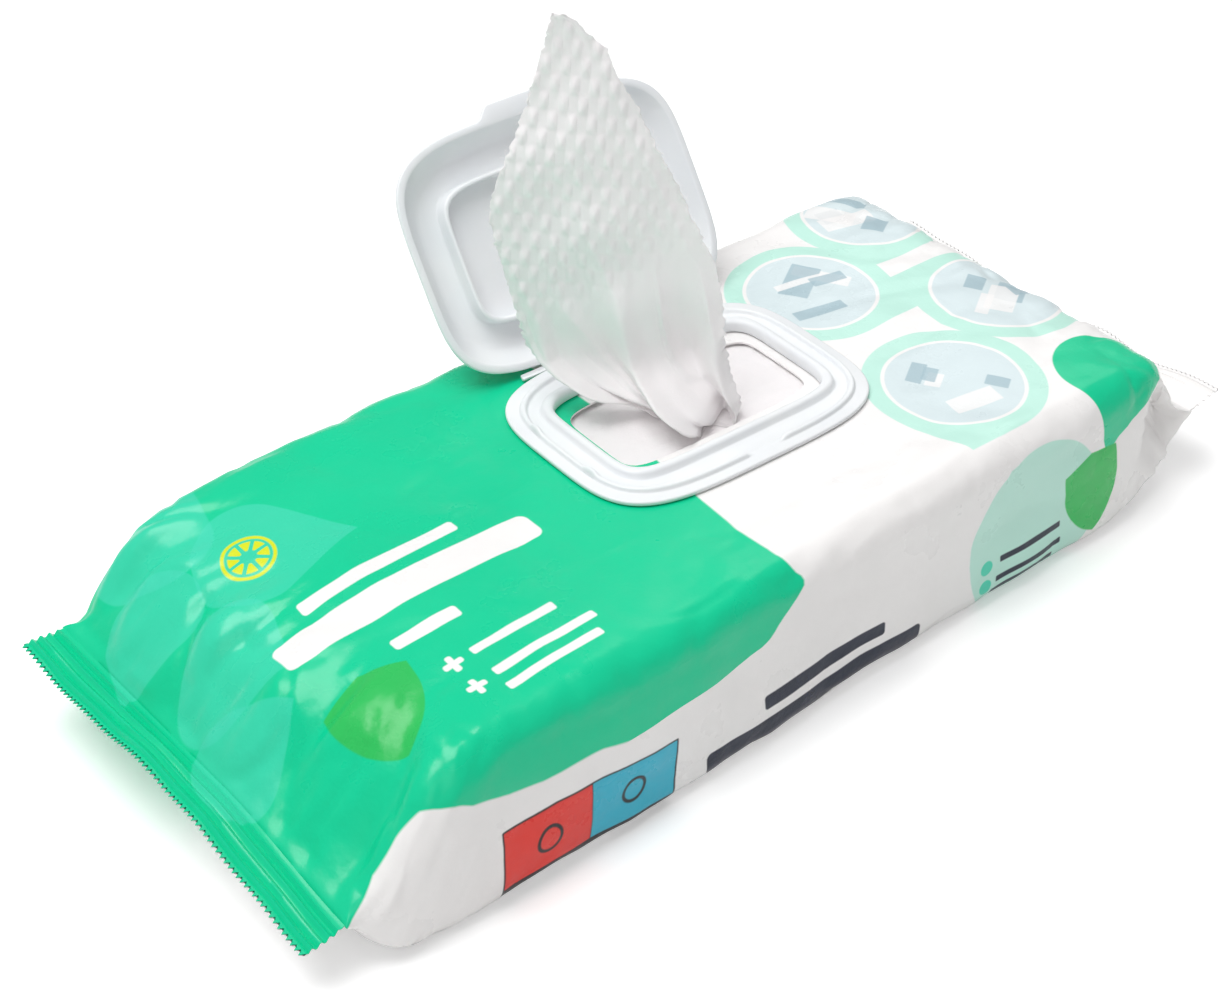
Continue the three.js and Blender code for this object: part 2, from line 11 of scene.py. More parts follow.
import bmesh
import bpy
import numpy as np
from mathutils import Matrix, Vector

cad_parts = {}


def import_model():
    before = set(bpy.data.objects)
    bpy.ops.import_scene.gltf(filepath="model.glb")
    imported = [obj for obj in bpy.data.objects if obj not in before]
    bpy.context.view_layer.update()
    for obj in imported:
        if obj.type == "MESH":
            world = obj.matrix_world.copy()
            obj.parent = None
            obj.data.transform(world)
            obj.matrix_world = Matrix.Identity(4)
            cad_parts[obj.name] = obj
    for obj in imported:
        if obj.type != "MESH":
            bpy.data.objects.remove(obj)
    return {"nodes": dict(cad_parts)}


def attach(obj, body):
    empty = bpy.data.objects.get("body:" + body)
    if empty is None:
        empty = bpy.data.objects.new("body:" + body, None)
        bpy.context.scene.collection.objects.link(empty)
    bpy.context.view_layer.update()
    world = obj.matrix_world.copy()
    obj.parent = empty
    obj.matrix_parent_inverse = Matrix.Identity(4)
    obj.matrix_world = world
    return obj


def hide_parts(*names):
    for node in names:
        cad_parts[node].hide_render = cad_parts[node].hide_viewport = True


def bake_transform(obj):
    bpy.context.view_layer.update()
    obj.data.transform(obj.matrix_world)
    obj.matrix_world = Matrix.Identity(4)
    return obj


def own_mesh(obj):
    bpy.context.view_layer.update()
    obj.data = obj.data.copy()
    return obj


LOG = logging.getLogger("wipes_packet")
MM = 0.001

Socket = bpy.types.NodeSocket
Array = np.ndarray
HeightRule = Callable[[Array, Array], Array]


def linear(hex_colour: str) -> tuple[float, float, float, float]:
    """Turn a written screen colour into the linear colour a shader takes.

    Args:
        hex_colour: Six hexadecimal digits.

    Returns:
        Red, green, blue and alpha, linear.
    """
    parts = [int(hex_colour[i : i + 2], 16) / 255 for i in (0, 2, 4)]
    out = [p / 12.92 if p <= 0.04045 else ((p + 0.055) / 1.055) ** 2.4 for p in parts]
    return (out[0], out[1], out[2], 1.0)


def smooth(edge0: float, edge1: float, x: Array) -> Array:
    """Ease from 0 to 1 between two edges."""
    t = np.clip((x - edge0) / (edge1 - edge0), 0.0, 1.0)
    return t * t * (3 - 2 * t)


class Waves:
    """Seeded sum of plane waves, used as a smooth noise over two coordinates."""

    def __init__(self, seed: int, count: int = 28, spread: float = 0.6) -> None:
        """Draw the waves.

        Args:
            seed: Seed of the generator.
            count: Number of waves.
            spread: How much the wave lengths differ.
        """
        rng = np.random.default_rng(seed)
        self.angle = rng.uniform(0, 2 * math.pi, count)
        self.size = np.exp(rng.uniform(-spread, spread, count))
        self.phase = rng.uniform(0, 2 * math.pi, count)
        self.count = count

    def at(self, a: Array, b: Array) -> Array:
        """Noise between about -1 and 1 for coordinates counted in wave lengths."""
        total = np.zeros(np.broadcast(a, b).shape)
        for angle, size, phase in zip(self.angle, self.size, self.phase):
            turn = 2 * math.pi * size
            total += np.sin(turn * (a * math.cos(angle) + b * math.sin(angle)) + phase)
        return total / math.sqrt(self.count / 2) / 1.6

    def crease(self, a: Array, b: Array) -> Array:
        """Sharp-crested noise, 0 in the hollows and 1 on the creases."""
        return np.clip(1 - 2.2 * np.abs(self.at(a, b)), 0, 1)


def mesh_object(
    name: str,
    points: Array,
    faces: Sequence[Sequence[int]] | Array,
    uv: Array | None = None,
    sharp_deg: float | None = None,
) -> bpy.types.Object:
    """Make a mesh object at the origin.

    Args:
        name: Object name.
        points: Vertex places in millimetres.
        faces: Vertex numbers of each face.
        uv: One pair for each face corner, or None.
        sharp_deg: Edges sharper than this stay sharp.

    Returns:
        The new object, linked to the scene.
    """
    mesh = bpy.data.meshes.new(name)
    mesh.from_pydata((np.asarray(points) * MM).tolist(), [], [list(map(int, f)) for f in faces])
    if uv is not None:
        layer = mesh.uv_layers.new(name="print")
        layer.data.foreach_set("uv", np.asarray(uv, np.float32).ravel())
    mesh.shade_smooth()
    if sharp_deg is not None:
        mesh.set_sharp_from_angle(angle=math.radians(sharp_deg))
    mesh.validate()
    mesh.update()
    obj = bpy.data.objects.new(name, mesh)
    bpy.context.scene.collection.objects.link(obj)
    return obj


def superellipse(half_x: float, half_y: float, power: float, count: int) -> Array:
    """Points evenly spaced along a rounded rectangle, anticlockwise from +X."""
    t = np.linspace(0, 2 * math.pi, 2881)
    c, s = np.cos(t), np.sin(t)
    k = (np.abs(c) ** power + np.abs(s) ** power) ** (-1 / power)
    x, y = half_x * c * k, half_y * s * k
    run = np.concatenate([[0], np.cumsum(np.hypot(np.diff(x), np.diff(y)))])
    want = np.arange(count) / count * run[-1]
    return np.stack([np.interp(want, run, x), np.interp(want, run, y)], 1)


def ring_faces(rings: int, count: int, closed: bool) -> list[list[int]]:
    """Quads between rings of equal count, with flat caps when not closed."""
    faces = []
    for r in range(rings if closed else rings - 1):
        s = (r + 1) % rings
        for i in range(count):
            k = (i + 1) % count
            faces.append([r * count + i, r * count + k, s * count + k, s * count + i])
    if not closed:
        faces.append([i for i in reversed(range(count))])
        faces.append([(rings - 1) * count + i for i in range(count)])
    return faces


def face_outwards(obj: bpy.types.Object) -> None:
    """Turn every face of a closed mesh outwards."""
    work = bmesh.new()
    work.from_mesh(obj.data)
    bmesh.ops.recalc_face_normals(work, faces=work.faces)
    if work.calc_volume(signed=True) < 0:
        bmesh.ops.reverse_faces(work, faces=work.faces)
    work.to_mesh(obj.data)
    work.free()


def node_bounds(name: str) -> tuple[Array, Array]:
    """Lowest and highest corner of one of the frame's solids, in millimetres."""
    corners = np.array([v.co[:] for v in bpy.data.objects[name].data.vertices]) / MM
    return corners.min(0), corners.max(0)


class Nodes:
    """Small helper that adds nodes to a tree."""

    def __init__(self, tree: bpy.types.NodeTree) -> None:
        """Keep the tree."""
        self.tree = tree

    def node(self, kind: str, **settings: object) -> bpy.types.Node:
        """Add one node and set its properties."""
        made = self.tree.nodes.new(kind)
        for key, value in settings.items():
            setattr(made, key, value)
        return made

    def put(self, socket: Socket, value: object) -> None:
        """Set a socket from a number, a tuple or another socket."""
        if isinstance(value, Socket):
            self.tree.links.new(value, socket)
        else:
            socket.default_value = value

    def wired(self, kind: str, inputs: dict, **settings: object) -> bpy.types.Node:
        """Add one node with its inputs.

        Args:
            kind: Type of the node.
            inputs: Number, tuple or socket for each input, by name or place.
            settings: Properties of the node.

        Returns:
            The node.
        """
        made = self.node(kind, **settings)
        for key, value in inputs.items():
            self.put(made.inputs[key], value)
        return made


class Graph(Nodes):
    """Writes shader nodes for masks drawn on a surface."""

    def __init__(self, material: bpy.types.Material) -> None:
        """Empty the material's tree and keep it."""
        material.use_nodes = True
        super().__init__(material.node_tree)
        self.tree.nodes.clear()
        self.shader = self.node("ShaderNodeBsdfPrincipled")
        self.wired("ShaderNodeOutputMaterial", {0: self.shader.outputs[0]})

    def math(self, how: str, a: object, b: object = 0.0, clamp: bool = False) -> Socket:
        """Scalar sum, product and the like."""
        return self.wired("ShaderNodeMath", {0: a, 1: b}, operation=how, use_clamp=clamp).outputs[0]

    def vec(self, how: str, a: object, b: object = None) -> bpy.types.Node:
        """Vector sum, length and the like."""
        inputs = {0: a} if b is None else {0: a, 1: b}
        return self.wired("ShaderNodeVectorMath", inputs, operation=how)

    def scaled(self, vector: Socket, size: float) -> Socket:
        """A vector times a number."""
        inputs = {0: vector, "Scale": size}
        return self.wired("ShaderNodeVectorMath", inputs, operation="SCALE").outputs[0]

    def split(self, vector: Socket) -> tuple[Socket, ...]:
        """The X, Y and Z of a vector."""
        return tuple(self.wired("ShaderNodeSeparateXYZ", {0: vector}).outputs)

    def noise(self, vector: Socket, scale: float, detail: float, rough: float = 0.5) -> Socket:
        """Plain noise factor."""
        inputs = {"Vector": vector, "Scale": scale, "Detail": detail, "Roughness": rough}
        return self.wired("ShaderNodeTexNoise", inputs).outputs["Fac"]

    def ramp(self, value: object, low: float, high: float, a: float = 0.0, b: float = 1.0) -> Socket:
        """Clamped straight line through two values."""
        inputs = {"From Min": low, "From Max": high, "To Min": a, "To Max": b, "Value": value}
        return self.wired("ShaderNodeMapRange", inputs, clamp=True).outputs[0]

    def mix(self, share: object, a: object, b: object) -> Socket:
        """Colour between two colours."""
        return self.wired("ShaderNodeMix", {0: share, 6: a, 7: b}, data_type="RGBA").outputs[2]

    def bump(self, height: Socket, strength: float, distance: float, under: object = None) -> Socket:
        """Bump from a height, over an earlier normal if there is one."""
        inputs = {"Strength": strength, "Distance": distance, "Height": height}
        if under is not None:
            inputs["Normal"] = under
        return self.wired("ShaderNodeBump", inputs).outputs[0]

    def object_place(self) -> Socket:
        """Object coordinates."""
        return self.node("ShaderNodeTexCoord").outputs["Object"]


@dataclass(frozen=True)
class Mark:
    """Place of one printed shape: centre and turn on the flat film, in millimetres."""

    u: float
    v: float
    turn_deg: float = 0.0

    def local(self, g: Graph, flat: Socket, stretch: float = 1.0) -> Socket:
        """Coordinates with the mark's centre at zero and its own X along its turn."""
        inputs = {
            "Vector": flat,
            "Location": (self.u, self.v, 0.0),
            "Rotation": (0.0, 0.0, math.radians(self.turn_deg)),
            "Scale": (1.0, stretch, 1.0),
        }
        return g.wired("ShaderNodeMapping", inputs, vector_type="TEXTURE").outputs[0]


# Half width of the soft edge of a printed shape, millimetres.
EDGE = 0.18


def disc(g: Graph, flat: Socket, at: Mark, radius: float, stretch: float = 1.0) -> Socket:
    """Mask of a filled circle or ellipse."""
    far = g.vec("LENGTH", at.local(g, flat, stretch)).outputs["Value"]
    return g.ramp(far, radius - EDGE, radius + EDGE, 1.0, 0.0)


def bar(g: Graph, flat: Socket, at: Mark, half: tuple[float, float], corner: float = 0.5) -> Socket:
    """Mask of a filled bar with round corners."""
    folded = g.vec("ABSOLUTE", at.local(g, flat)).outputs[0]
    past = g.vec("SUBTRACT", folded, (half[0] - corner, half[1] - corner, 0.0)).outputs[0]
    kept = g.vec("MAXIMUM", past, (0.0, 0.0, 0.0)).outputs[0]
    far = g.vec("LENGTH", g.vec("MULTIPLY", kept, (1.0, 1.0, 0.0)).outputs[0]).outputs["Value"]
    return g.ramp(far, corner - EDGE, corner + EDGE, 1.0, 0.0)


def drop(g: Graph, flat: Socket, at: Mark, radius: float, tip: float, stretch: float = 1.0) -> Socket:
    """Mask of a drop: a circle with a point along the mark's own X."""
    local = at.local(g, flat, stretch)
    x, y, _ = g.split(local)
    far = g.vec("LENGTH", local).outputs["Value"]
    ball = g.ramp(far, radius - EDGE, radius + EDGE, 1.0, 0.0)
    sine = radius / tip
    cosine = math.sqrt(1 - sine * sine)
    wing = g.math("ADD", g.math("MULTIPLY", x, sine), g.math("MULTIPLY", g.math("ABSOLUTE", y), cosine))
    cone = g.ramp(wing, radius - EDGE, radius + EDGE, 1.0, 0.0)
    ahead = g.ramp(x, radius * sine - 0.2, radius * sine + 0.2)
    return g.math("MAXIMUM", ball, g.math("MULTIPLY", cone, ahead))


def shield(g: Graph, flat: Socket, at: Mark, half: float, top: float, low: float) -> Socket:
    """Mask of a plain shield whose point is along the mark's own -Y."""
    x, y, _ = g.split(at.local(g, flat))
    side = g.math("ABSOLUTE", x)
    bow = (low * low - half * half) / (2 * half)
    down = g.math("MINIMUM", y, 0.0)
    across = g.math("POWER", g.math("ADD", side, bow), 2.0)
    reach = g.math("SQRT", g.math("ADD", across, g.math("MULTIPLY", down, down)))
    inside = g.ramp(reach, half + bow - EDGE, half + bow + EDGE, 1.0, 0.0)
    lift = g.math("ADD", y, g.math("MULTIPLY", side, 0.3))
    under = g.ramp(lift, top + 0.15 * half - EDGE, top + 0.15 * half + EDGE, 1.0, 0.0)
    return g.math("MULTIPLY", inside, under)


class Ink(Enum):
    """Print colours of the film."""

    GREEN = "00CC96"
    GREEN_PALE = "46D6B6"
    GREEN_BRIGHT = "2CBE5C"
    MINT = "BFEBDD"
    WHITE = "F3F1F0"
    LIME = "D9E021"
    NAVY = "101B34"
    RED = "E8352B"
    CYAN = "2FB4CE"
    STEEL = "9DB8C2"
    STEEL_PALE = "D5E3E6"
    BLACK = "15171A"


@dataclass(frozen=True)
class PrintedFilm:
    """Glossy printed film, drawn on the unrolled surface."""

    roughness: float = 0.3
    # Edge of the green field: girth place, then place along the packet, millimetres.
    green_edge: tuple[tuple[float, float], ...] = (
        (-160, -118), (-98, -112), (-78, -104), (-72, -60), (-66, -22), (-58, -14),
        (-45, -9), (-20, -7), (0, -8.2), (11, -10), (28, -11.8), (46, -12.4), (57, -10.5),
        (60, -9.2), (63, -12), (67, -17.5), (70, -21), (72.5, -28), (74, -41), (74.8, -70),
        (75.4, -92), (76.5, -108), (79, -116), (84, -128), (100, -150), (160, -165),
    )
    # Front edge of the green field at its left end: place along the packet, then girth place.
    front_edge: tuple[tuple[float, float], ...] = (
        (-150, 58.5), (-135, 57.5), (-130, 55), (-126, 53), (-120, 54), (-115, 56), (-111.5, 60),
        (-104.5, 66.5), (-95, 70.5), (-86, 72.5), (-70, 73), (-40, 80), (0, 96),
    )

    def field(self, g: Graph, u: Socket, v: Socket) -> Socket:
        """Mask of the green field."""
        edge = self.traced(g, v, self.green_edge, (-170.0, 10.0), "AUTO")
        inside = g.ramp(g.math("SUBTRACT", edge, u), -0.3, 0.3)
        reach = self.traced(g, u, self.front_edge, (0.0, 100.0), "VECTOR")
        above = g.ramp(g.math("SUBTRACT", reach, v), -0.3, 0.3)
        return g.math("MULTIPLY", inside, above)

    @staticmethod
    def traced(
        g: Graph,
        value: Socket,
        stops: Sequence[tuple[float, float]],
        span: tuple[float, float],
        handle: str,
    ) -> Socket:
        """Follow a drawn curve.

        Args:
            g: Tree to write to.
            value: Where on the curve.
            stops: Place and value of each of its points.
            span: Lowest and highest value that the curve can take.
            handle: AUTO for a round curve, VECTOR for straight runs.

        Returns:
            The curve's value.
        """
        start, end = stops[0][0], stops[-1][0]
        low, high = span
        curve = g.node("ShaderNodeFloatCurve")
        lane = curve.mapping.curves[0]
        shares = [((a - start) / (end - start), (b - low) / (high - low)) for a, b in stops]
        lane.points[0].location = shares[0]
        lane.points[1].location = shares[-1]
        for share in shares[1:-1]:
            lane.points.new(*share)
        for point in lane.points:
            point.handle_type = handle
        curve.mapping.update()
        g.put(curve.inputs["Value"], g.ramp(value, start, end))
        return g.math("ADD", g.math("MULTIPLY", curve.outputs[0], high - low), low)

    def build(self) -> bpy.types.Material:
        """Write the material."""
        material = bpy.data.materials.new("printed_film")
        g = Graph(material)
        uv = g.node("ShaderNodeUVMap", uv_map="print").outputs[0]
        scaled = g.vec("MULTIPLY", uv, (1000.0, 1000.0, 0.0)).outputs[0]
        flat = g.vec("SUBTRACT", scaled, (200.0, 200.0, 0.0)).outputs[0]
        u, v, _ = g.split(flat)
        place = g.object_place()
        ink = {key: linear(key.value) for key in Ink}
        green = self.field(g, u, v)
        colour = self.right_side(g, flat, ink)
        colour = self.front_side(g, flat, ink, colour)
        colour = g.mix(green, colour, self.green_side(g, flat, ink))
        colour = self.over_all(g, flat, ink, colour)
        shade = g.ramp(g.noise(place, 24.0, 3.0), 0.3, 0.7, 0.955, 1.0)
        grey = g.wired("ShaderNodeCombineColor", {0: shade, 1: shade, 2: shade}).outputs[0]
        layers = {0: 1.0, 6: colour, 7: grey}
        toned = g.wired("ShaderNodeMix", layers, data_type="RGBA", blend_type="MULTIPLY")
        g.put(g.shader.inputs["Base Color"], toned.outputs[2])
        patch = g.noise(place, 38.0, 5.0, 0.6)
        dull = g.ramp(patch, 0.35, 0.65, self.roughness - 0.07, self.roughness + 0.1)
        g.put(g.shader.inputs["Roughness"], dull)
        g.put(g.shader.inputs["Specular IOR Level"], 0.34)
        g.put(g.shader.inputs["Coat Weight"], 0.12)
        g.put(g.shader.inputs["Coat Roughness"], 0.1)
        g.put(g.shader.inputs["Subsurface Weight"], 0.0)
        ripple = g.noise(place, 190.0, 3.0, 0.55)
        wide = g.noise(place, 60.0, 2.0, 0.5)
        warped = g.vec("ADD", place, g.scaled(self.warp(g, place), 0.03)).outputs[0]
        cells = {"Vector": warped, "Scale": 34.0}
        crease = g.wired("ShaderNodeTexVoronoi", cells, feature="DISTANCE_TO_EDGE")
        fold = g.ramp(crease.outputs["Distance"], 0.0, 0.12, 0.0, 1.0)
        lap = g.ramp(g.math("ABSOLUTE", g.math("SUBTRACT", g.math("ABSOLUTE", v), 154.0)), 0.2, 0.7)
        normal = g.bump(wide, 0.4, 0.0018)
        normal = g.bump(fold, 0.12, 0.0005, normal)
        normal = g.bump(ripple, 0.3, 0.0006, normal)
        normal = g.bump(lap, 0.6, 0.0004, normal)
        g.put(g.shader.inputs["Normal"], normal)
        return material

    def warp(self, g: Graph, place: Socket) -> Socket:
        """Small colour-noise shift that bends the fine creases."""
        return g.wired("ShaderNodeTexNoise", {"Vector": place, "Scale": 30.0}).outputs["Color"]

    def green_side(self, g: Graph, flat: Socket, ink: dict) -> Socket:
        """Colours inside the green field: pale drops, a citrus slice and plain bars."""
        colour = ink[Ink.GREEN]
        for mark, radius, tip, stretch in (
            (Mark(-101, -27, 24), 13.5, 25, 1.25), (Mark(-114, -49, -30), 12, 19, 1.3),
            (Mark(-124, -33, 150), 10, 17, 1.2), (Mark(-121, -7, 60), 11, 17, 1.3),
            (Mark(-132, 12, 10), 9, 15, 1.4), (Mark(-96, -74, 10), 12, 20, 1.1),
        ):
            share = g.math("MULTIPLY", drop(g, flat, mark, radius, tip, stretch), 0.55)
            colour = g.mix(share, colour, ink[Ink.GREEN_PALE])
        slice_at = Mark(-101.5, -26.5, 0)
        rind = g.math("SUBTRACT", disc(g, flat, slice_at, 6.6), disc(g, flat, slice_at, 5.7))
        local = slice_at.local(g, flat)
        x, y, _ = g.split(local)
        angle = g.math("ARCTAN2", y, x)
        spoke = g.math("ABSOLUTE", g.math("SINE", g.math("MULTIPLY", angle, 4.0)))
        far = g.vec("LENGTH", local).outputs["Value"]
        lobe = g.ramp(g.math("MULTIPLY", spoke, far), 1.6, 2.1)
        lobe = g.math("MULTIPLY", lobe, disc(g, flat, slice_at, 4.9))
        lobe = g.math("MULTIPLY", lobe, g.ramp(far, 1.9, 2.3))
        colour = g.mix(g.math("MAXIMUM", rind, lobe), colour, ink[Ink.LIME])
        for mark, half in (
            (Mark(-82, -3.5, 1), (21, 1.9)),
            (Mark(-80.5, 6.5, 2), (34, 4.6)),
            (Mark(-86.5, 20.5, 2), (8.6, 1.9)),
            (Mark(-72.5, 33.2, -1), (11.5, 1.2)),
            (Mark(-70, 41, -1), (14, 1.2)),
            (Mark(-71.5, 46.4, -1), (13, 1.2)),
        ):
            colour = g.mix(bar(g, flat, mark, half, min(half) * 0.5), colour, ink[Ink.WHITE])
        for mark in (Mark(-89, 33.6), Mark(-89.5, 42.5)):
            plus = g.math("MAXIMUM", bar(g, flat, mark, (2.5, 0.8), 0.6), bar(g, flat, mark, (0.8, 2.5), 0.6))
            colour = g.mix(plus, colour, ink[Ink.WHITE])
        badge = shield(g, flat, Mark(-106.5, 28.5, 190), 10.2, 6.0, 16.5)
        return g.mix(badge, colour, ink[Ink.GREEN_BRIGHT])

    def right_side(self, g: Graph, flat: Socket, ink: dict) -> Socket:
        """White field with mint drops round plain grey-blue windows."""
        colour = ink[Ink.WHITE]
        drops = (
            (Mark(69, -22, 52), 22.6, 28), (Mark(68, 30, 128), 23, 29), (Mark(107, -42, 128), 21.5, 27),
            (Mark(107, 8, 232), 22.5, 28),
        )
        for mark, radius, tip in drops:
            colour = g.mix(drop(g, flat, mark, radius, tip), colour, ink[Ink.MINT])
            colour = g.mix(disc(g, flat, Mark(mark.u, mark.v), radius - 4.8), colour, ink[Ink.WHITE])
            window = disc(g, flat, Mark(mark.u, mark.v), radius - 5.8)
            scene = self.window_shapes(g, flat, mark, radius - 5.8, ink)
            colour = g.mix(window, colour, scene)
        return colour

    def window_shapes(self, g: Graph, flat: Socket, at: Mark, radius: float, ink: dict) -> Socket:
        """Abstract blocks inside a round window."""
        colour = ink[Ink.STEEL_PALE]
        seed = int(abs(at.u) + abs(at.v))
        rng = np.random.default_rng(seed)
        for k in range(5):
            shift = rng.uniform(-0.55, 0.55, 2) * radius
            half = (radius * rng.uniform(0.15, 0.5), radius * rng.uniform(0.06, 0.26))
            mark = Mark(at.u + shift[0], at.v + shift[1], float(rng.choice([-32, 12, 58])))
            tint = (Ink.STEEL, Ink.WHITE, Ink.STEEL, Ink.WHITE, Ink.STEEL)[k]
            colour = g.mix(g.math("MULTIPLY", bar(g, flat, mark, half, 0.3), 0.8), colour, ink[tint])
        return colour

    def front_side(self, g: Graph, flat: Socket, ink: dict, colour: object) -> Socket:
        """Long side: plain bars, a two-colour panel and a mint bubble with dots."""
        colour = g.mix(disc(g, flat, Mark(69, 84), 23, 1.05), colour, ink[Ink.MINT])
        for mark, half in ((Mark(-3, 87.4), (20, 1.9)), (Mark(-6, 95.0), (35, 3.1))):
            colour = g.mix(bar(g, flat, mark, half, min(half) * 0.5), colour, ink[Ink.NAVY])
        for v in (88.2, 94.0):
            colour = g.mix(disc(g, flat, Mark(52.3, v), 2.1), colour, ink[Ink.GREEN_PALE])
        for mark, length in ((Mark(68, 87.6), 11), (Mark(68, 93.2), 12), (Mark(66, 96.8), 11.5)):
            colour = g.mix(bar(g, flat, mark, (length, 0.9), 0.4), colour, ink[Ink.NAVY])
        panel = Mark(-74.5, 89.9, 3.5)
        colour = g.mix(bar(g, flat, panel, (24.4, 10.0), 0.4), colour, ink[Ink.BLACK])
        for mark, tint in ((Mark(-86.4, 87.5, 3.5), Ink.RED), (Mark(-62.4, 88.9, 3.5), Ink.CYAN)):
            colour = g.mix(bar(g, flat, mark, (11.9, 7.8), 0.3), colour, ink[tint])
            colour = g.mix(disc(g, flat, mark, 3.6), colour, ink[Ink.BLACK])
            colour = g.mix(disc(g, flat, mark, 2.7), colour, ink[tint])
        return colour

    def over_all(self, g: Graph, flat: Socket, ink: dict, colour: object) -> Socket:
        """Right-hand tab and the badge under it."""
        tab = drop(g, flat, Mark(104, 50, 114), 15.0, 25.5)
        colour = g.mix(tab, colour, ink[Ink.GREEN])
        badge = shield(g, flat, Mark(89.5, 80, 171), 9.2, 8.5, 16)
        return g.mix(badge, colour, ink[Ink.GREEN_BRIGHT])


@dataclass(frozen=True)
class MouldedWhite:
    """Satin white moulded plastic of the closure."""

    name: str = "moulded_white"
    colour: str = "ECEEEF"
    roughness: float = 0.36

    def build(self) -> bpy.types.Material:
        """Write the material."""
        material = bpy.data.materials.new(self.name)
        g = Graph(material)
        place = g.object_place()
        tint = g.mix(g.ramp(g.noise(place, 60.0, 3.0), 0.3, 0.7), linear(self.colour), linear("E7EAED"))
        g.put(g.shader.inputs["Base Color"], tint)
        patch = g.noise(place, 120.0, 4.0)
        dull = g.ramp(patch, 0.3, 0.7, self.roughness - 0.05, self.roughness + 0.08)
        g.put(g.shader.inputs["Roughness"], dull)
        g.put(g.shader.inputs["Subsurface Weight"], 0.12)
        g.put(g.shader.inputs["Subsurface Radius"], (0.004, 0.004, 0.004))
        g.put(g.shader.inputs["Subsurface Scale"], 0.4)
        normal = g.bump(g.noise(place, 900.0, 2.0), 0.12, 0.00012)
        normal = g.bump(g.noise(place, 55.0, 2.0), 0.15, 0.0006, normal)
        g.put(g.shader.inputs["Normal"], normal)
        return material


@dataclass(frozen=True)
class DampCloth:
    """Damp white non-woven cloth with fine fibres."""

    name: str = "damp_cloth"
    colour: str = "FFFAFB"
    roughness: float = 0.7

    def build(self) -> bpy.types.Material:
        """Write the material."""
        material = bpy.data.materials.new(self.name)
        g = Graph(material)
        place = g.object_place()
        damp = g.ramp(g.noise(place, 45.0, 3.0), 0.35, 0.65)
        g.put(g.shader.inputs["Base Color"], g.mix(damp, linear(self.colour), linear("F9F5F6")))
        g.put(g.shader.inputs["Roughness"], self.roughness)
        g.put(g.shader.inputs["Sheen Weight"], 0.25)
        g.put(g.shader.inputs["Subsurface Weight"], 0.3)
        g.put(g.shader.inputs["Subsurface Radius"], (0.003, 0.003, 0.003))
        g.put(g.shader.inputs["Subsurface Scale"], 0.6)
        along = {"Vector": place, "Rotation": (0.3, 0.2, 0.6), "Scale": (1.0, 1.0, 4.0)}
        stretched = g.wired("ShaderNodeMapping", along)
        fibre = g.noise(stretched.outputs[0], 1400.0, 4.0, 0.7)
        blot = g.noise(place, 420.0, 3.0, 0.6)
        normal = g.bump(fibre, 0.4, 0.0002)
        normal = g.bump(blot, 0.35, 0.0003, normal)
        g.put(g.shader.inputs["Normal"], normal)
        return material


@dataclass(frozen=True)
class TopPlace:
    """Where the closure sits on the packet's top face, in millimetres."""

    x: float = 12.0
    y: float = 5.5
    z: float = 45.95
    skew_deg: float = -1.9

    def at(self, points: Array) -> Array:
        """Move closure points to the packet's frame."""
        a = math.radians(self.skew_deg)
        c, s = math.cos(a), math.sin(a)
        out = np.empty_like(points, dtype=float)
        out[..., 0] = self.x + c * points[..., 0] - s * points[..., 1]
        out[..., 1] = self.y + s * points[..., 0] + c * points[..., 1]
        out[..., 2] = self.z + points[..., 2]
        return out

    def local(self, x: Array, y: Array) -> tuple[Array, Array]:
        """Closure coordinates of packet points."""
        a = math.radians(-self.skew_deg)
        c, s = math.cos(a), math.sin(a)
        dx, dy = x - self.x, y - self.y
        return c * dx - s * dy, s * dx + c * dy


TOP = TopPlace()


@dataclass(frozen=True)
class EndStation:
    """One place of a packet end, counted from its seal inwards."""

    along: float
    under: float
    over: float
    narrower: float


@dataclass(frozen=True)
class Crumple:
    """How far the film is pushed in and out by each kind of wrinkle, in millimetres."""

    broad: float = 0.28
    small: float = 0.09
    facets: float = 0.35
    left_creases: tuple[float, float] = (0.9, 0.7)
    left_waves: tuple[float, float] = (0.5, 0.25)
    right_creases: float = 0.9
    right_waves: float = 0.35
    side_hollows: float = 0.9
    shoulder: tuple[float, float] = (0.3, 0.6)
    puff: float = 1.1


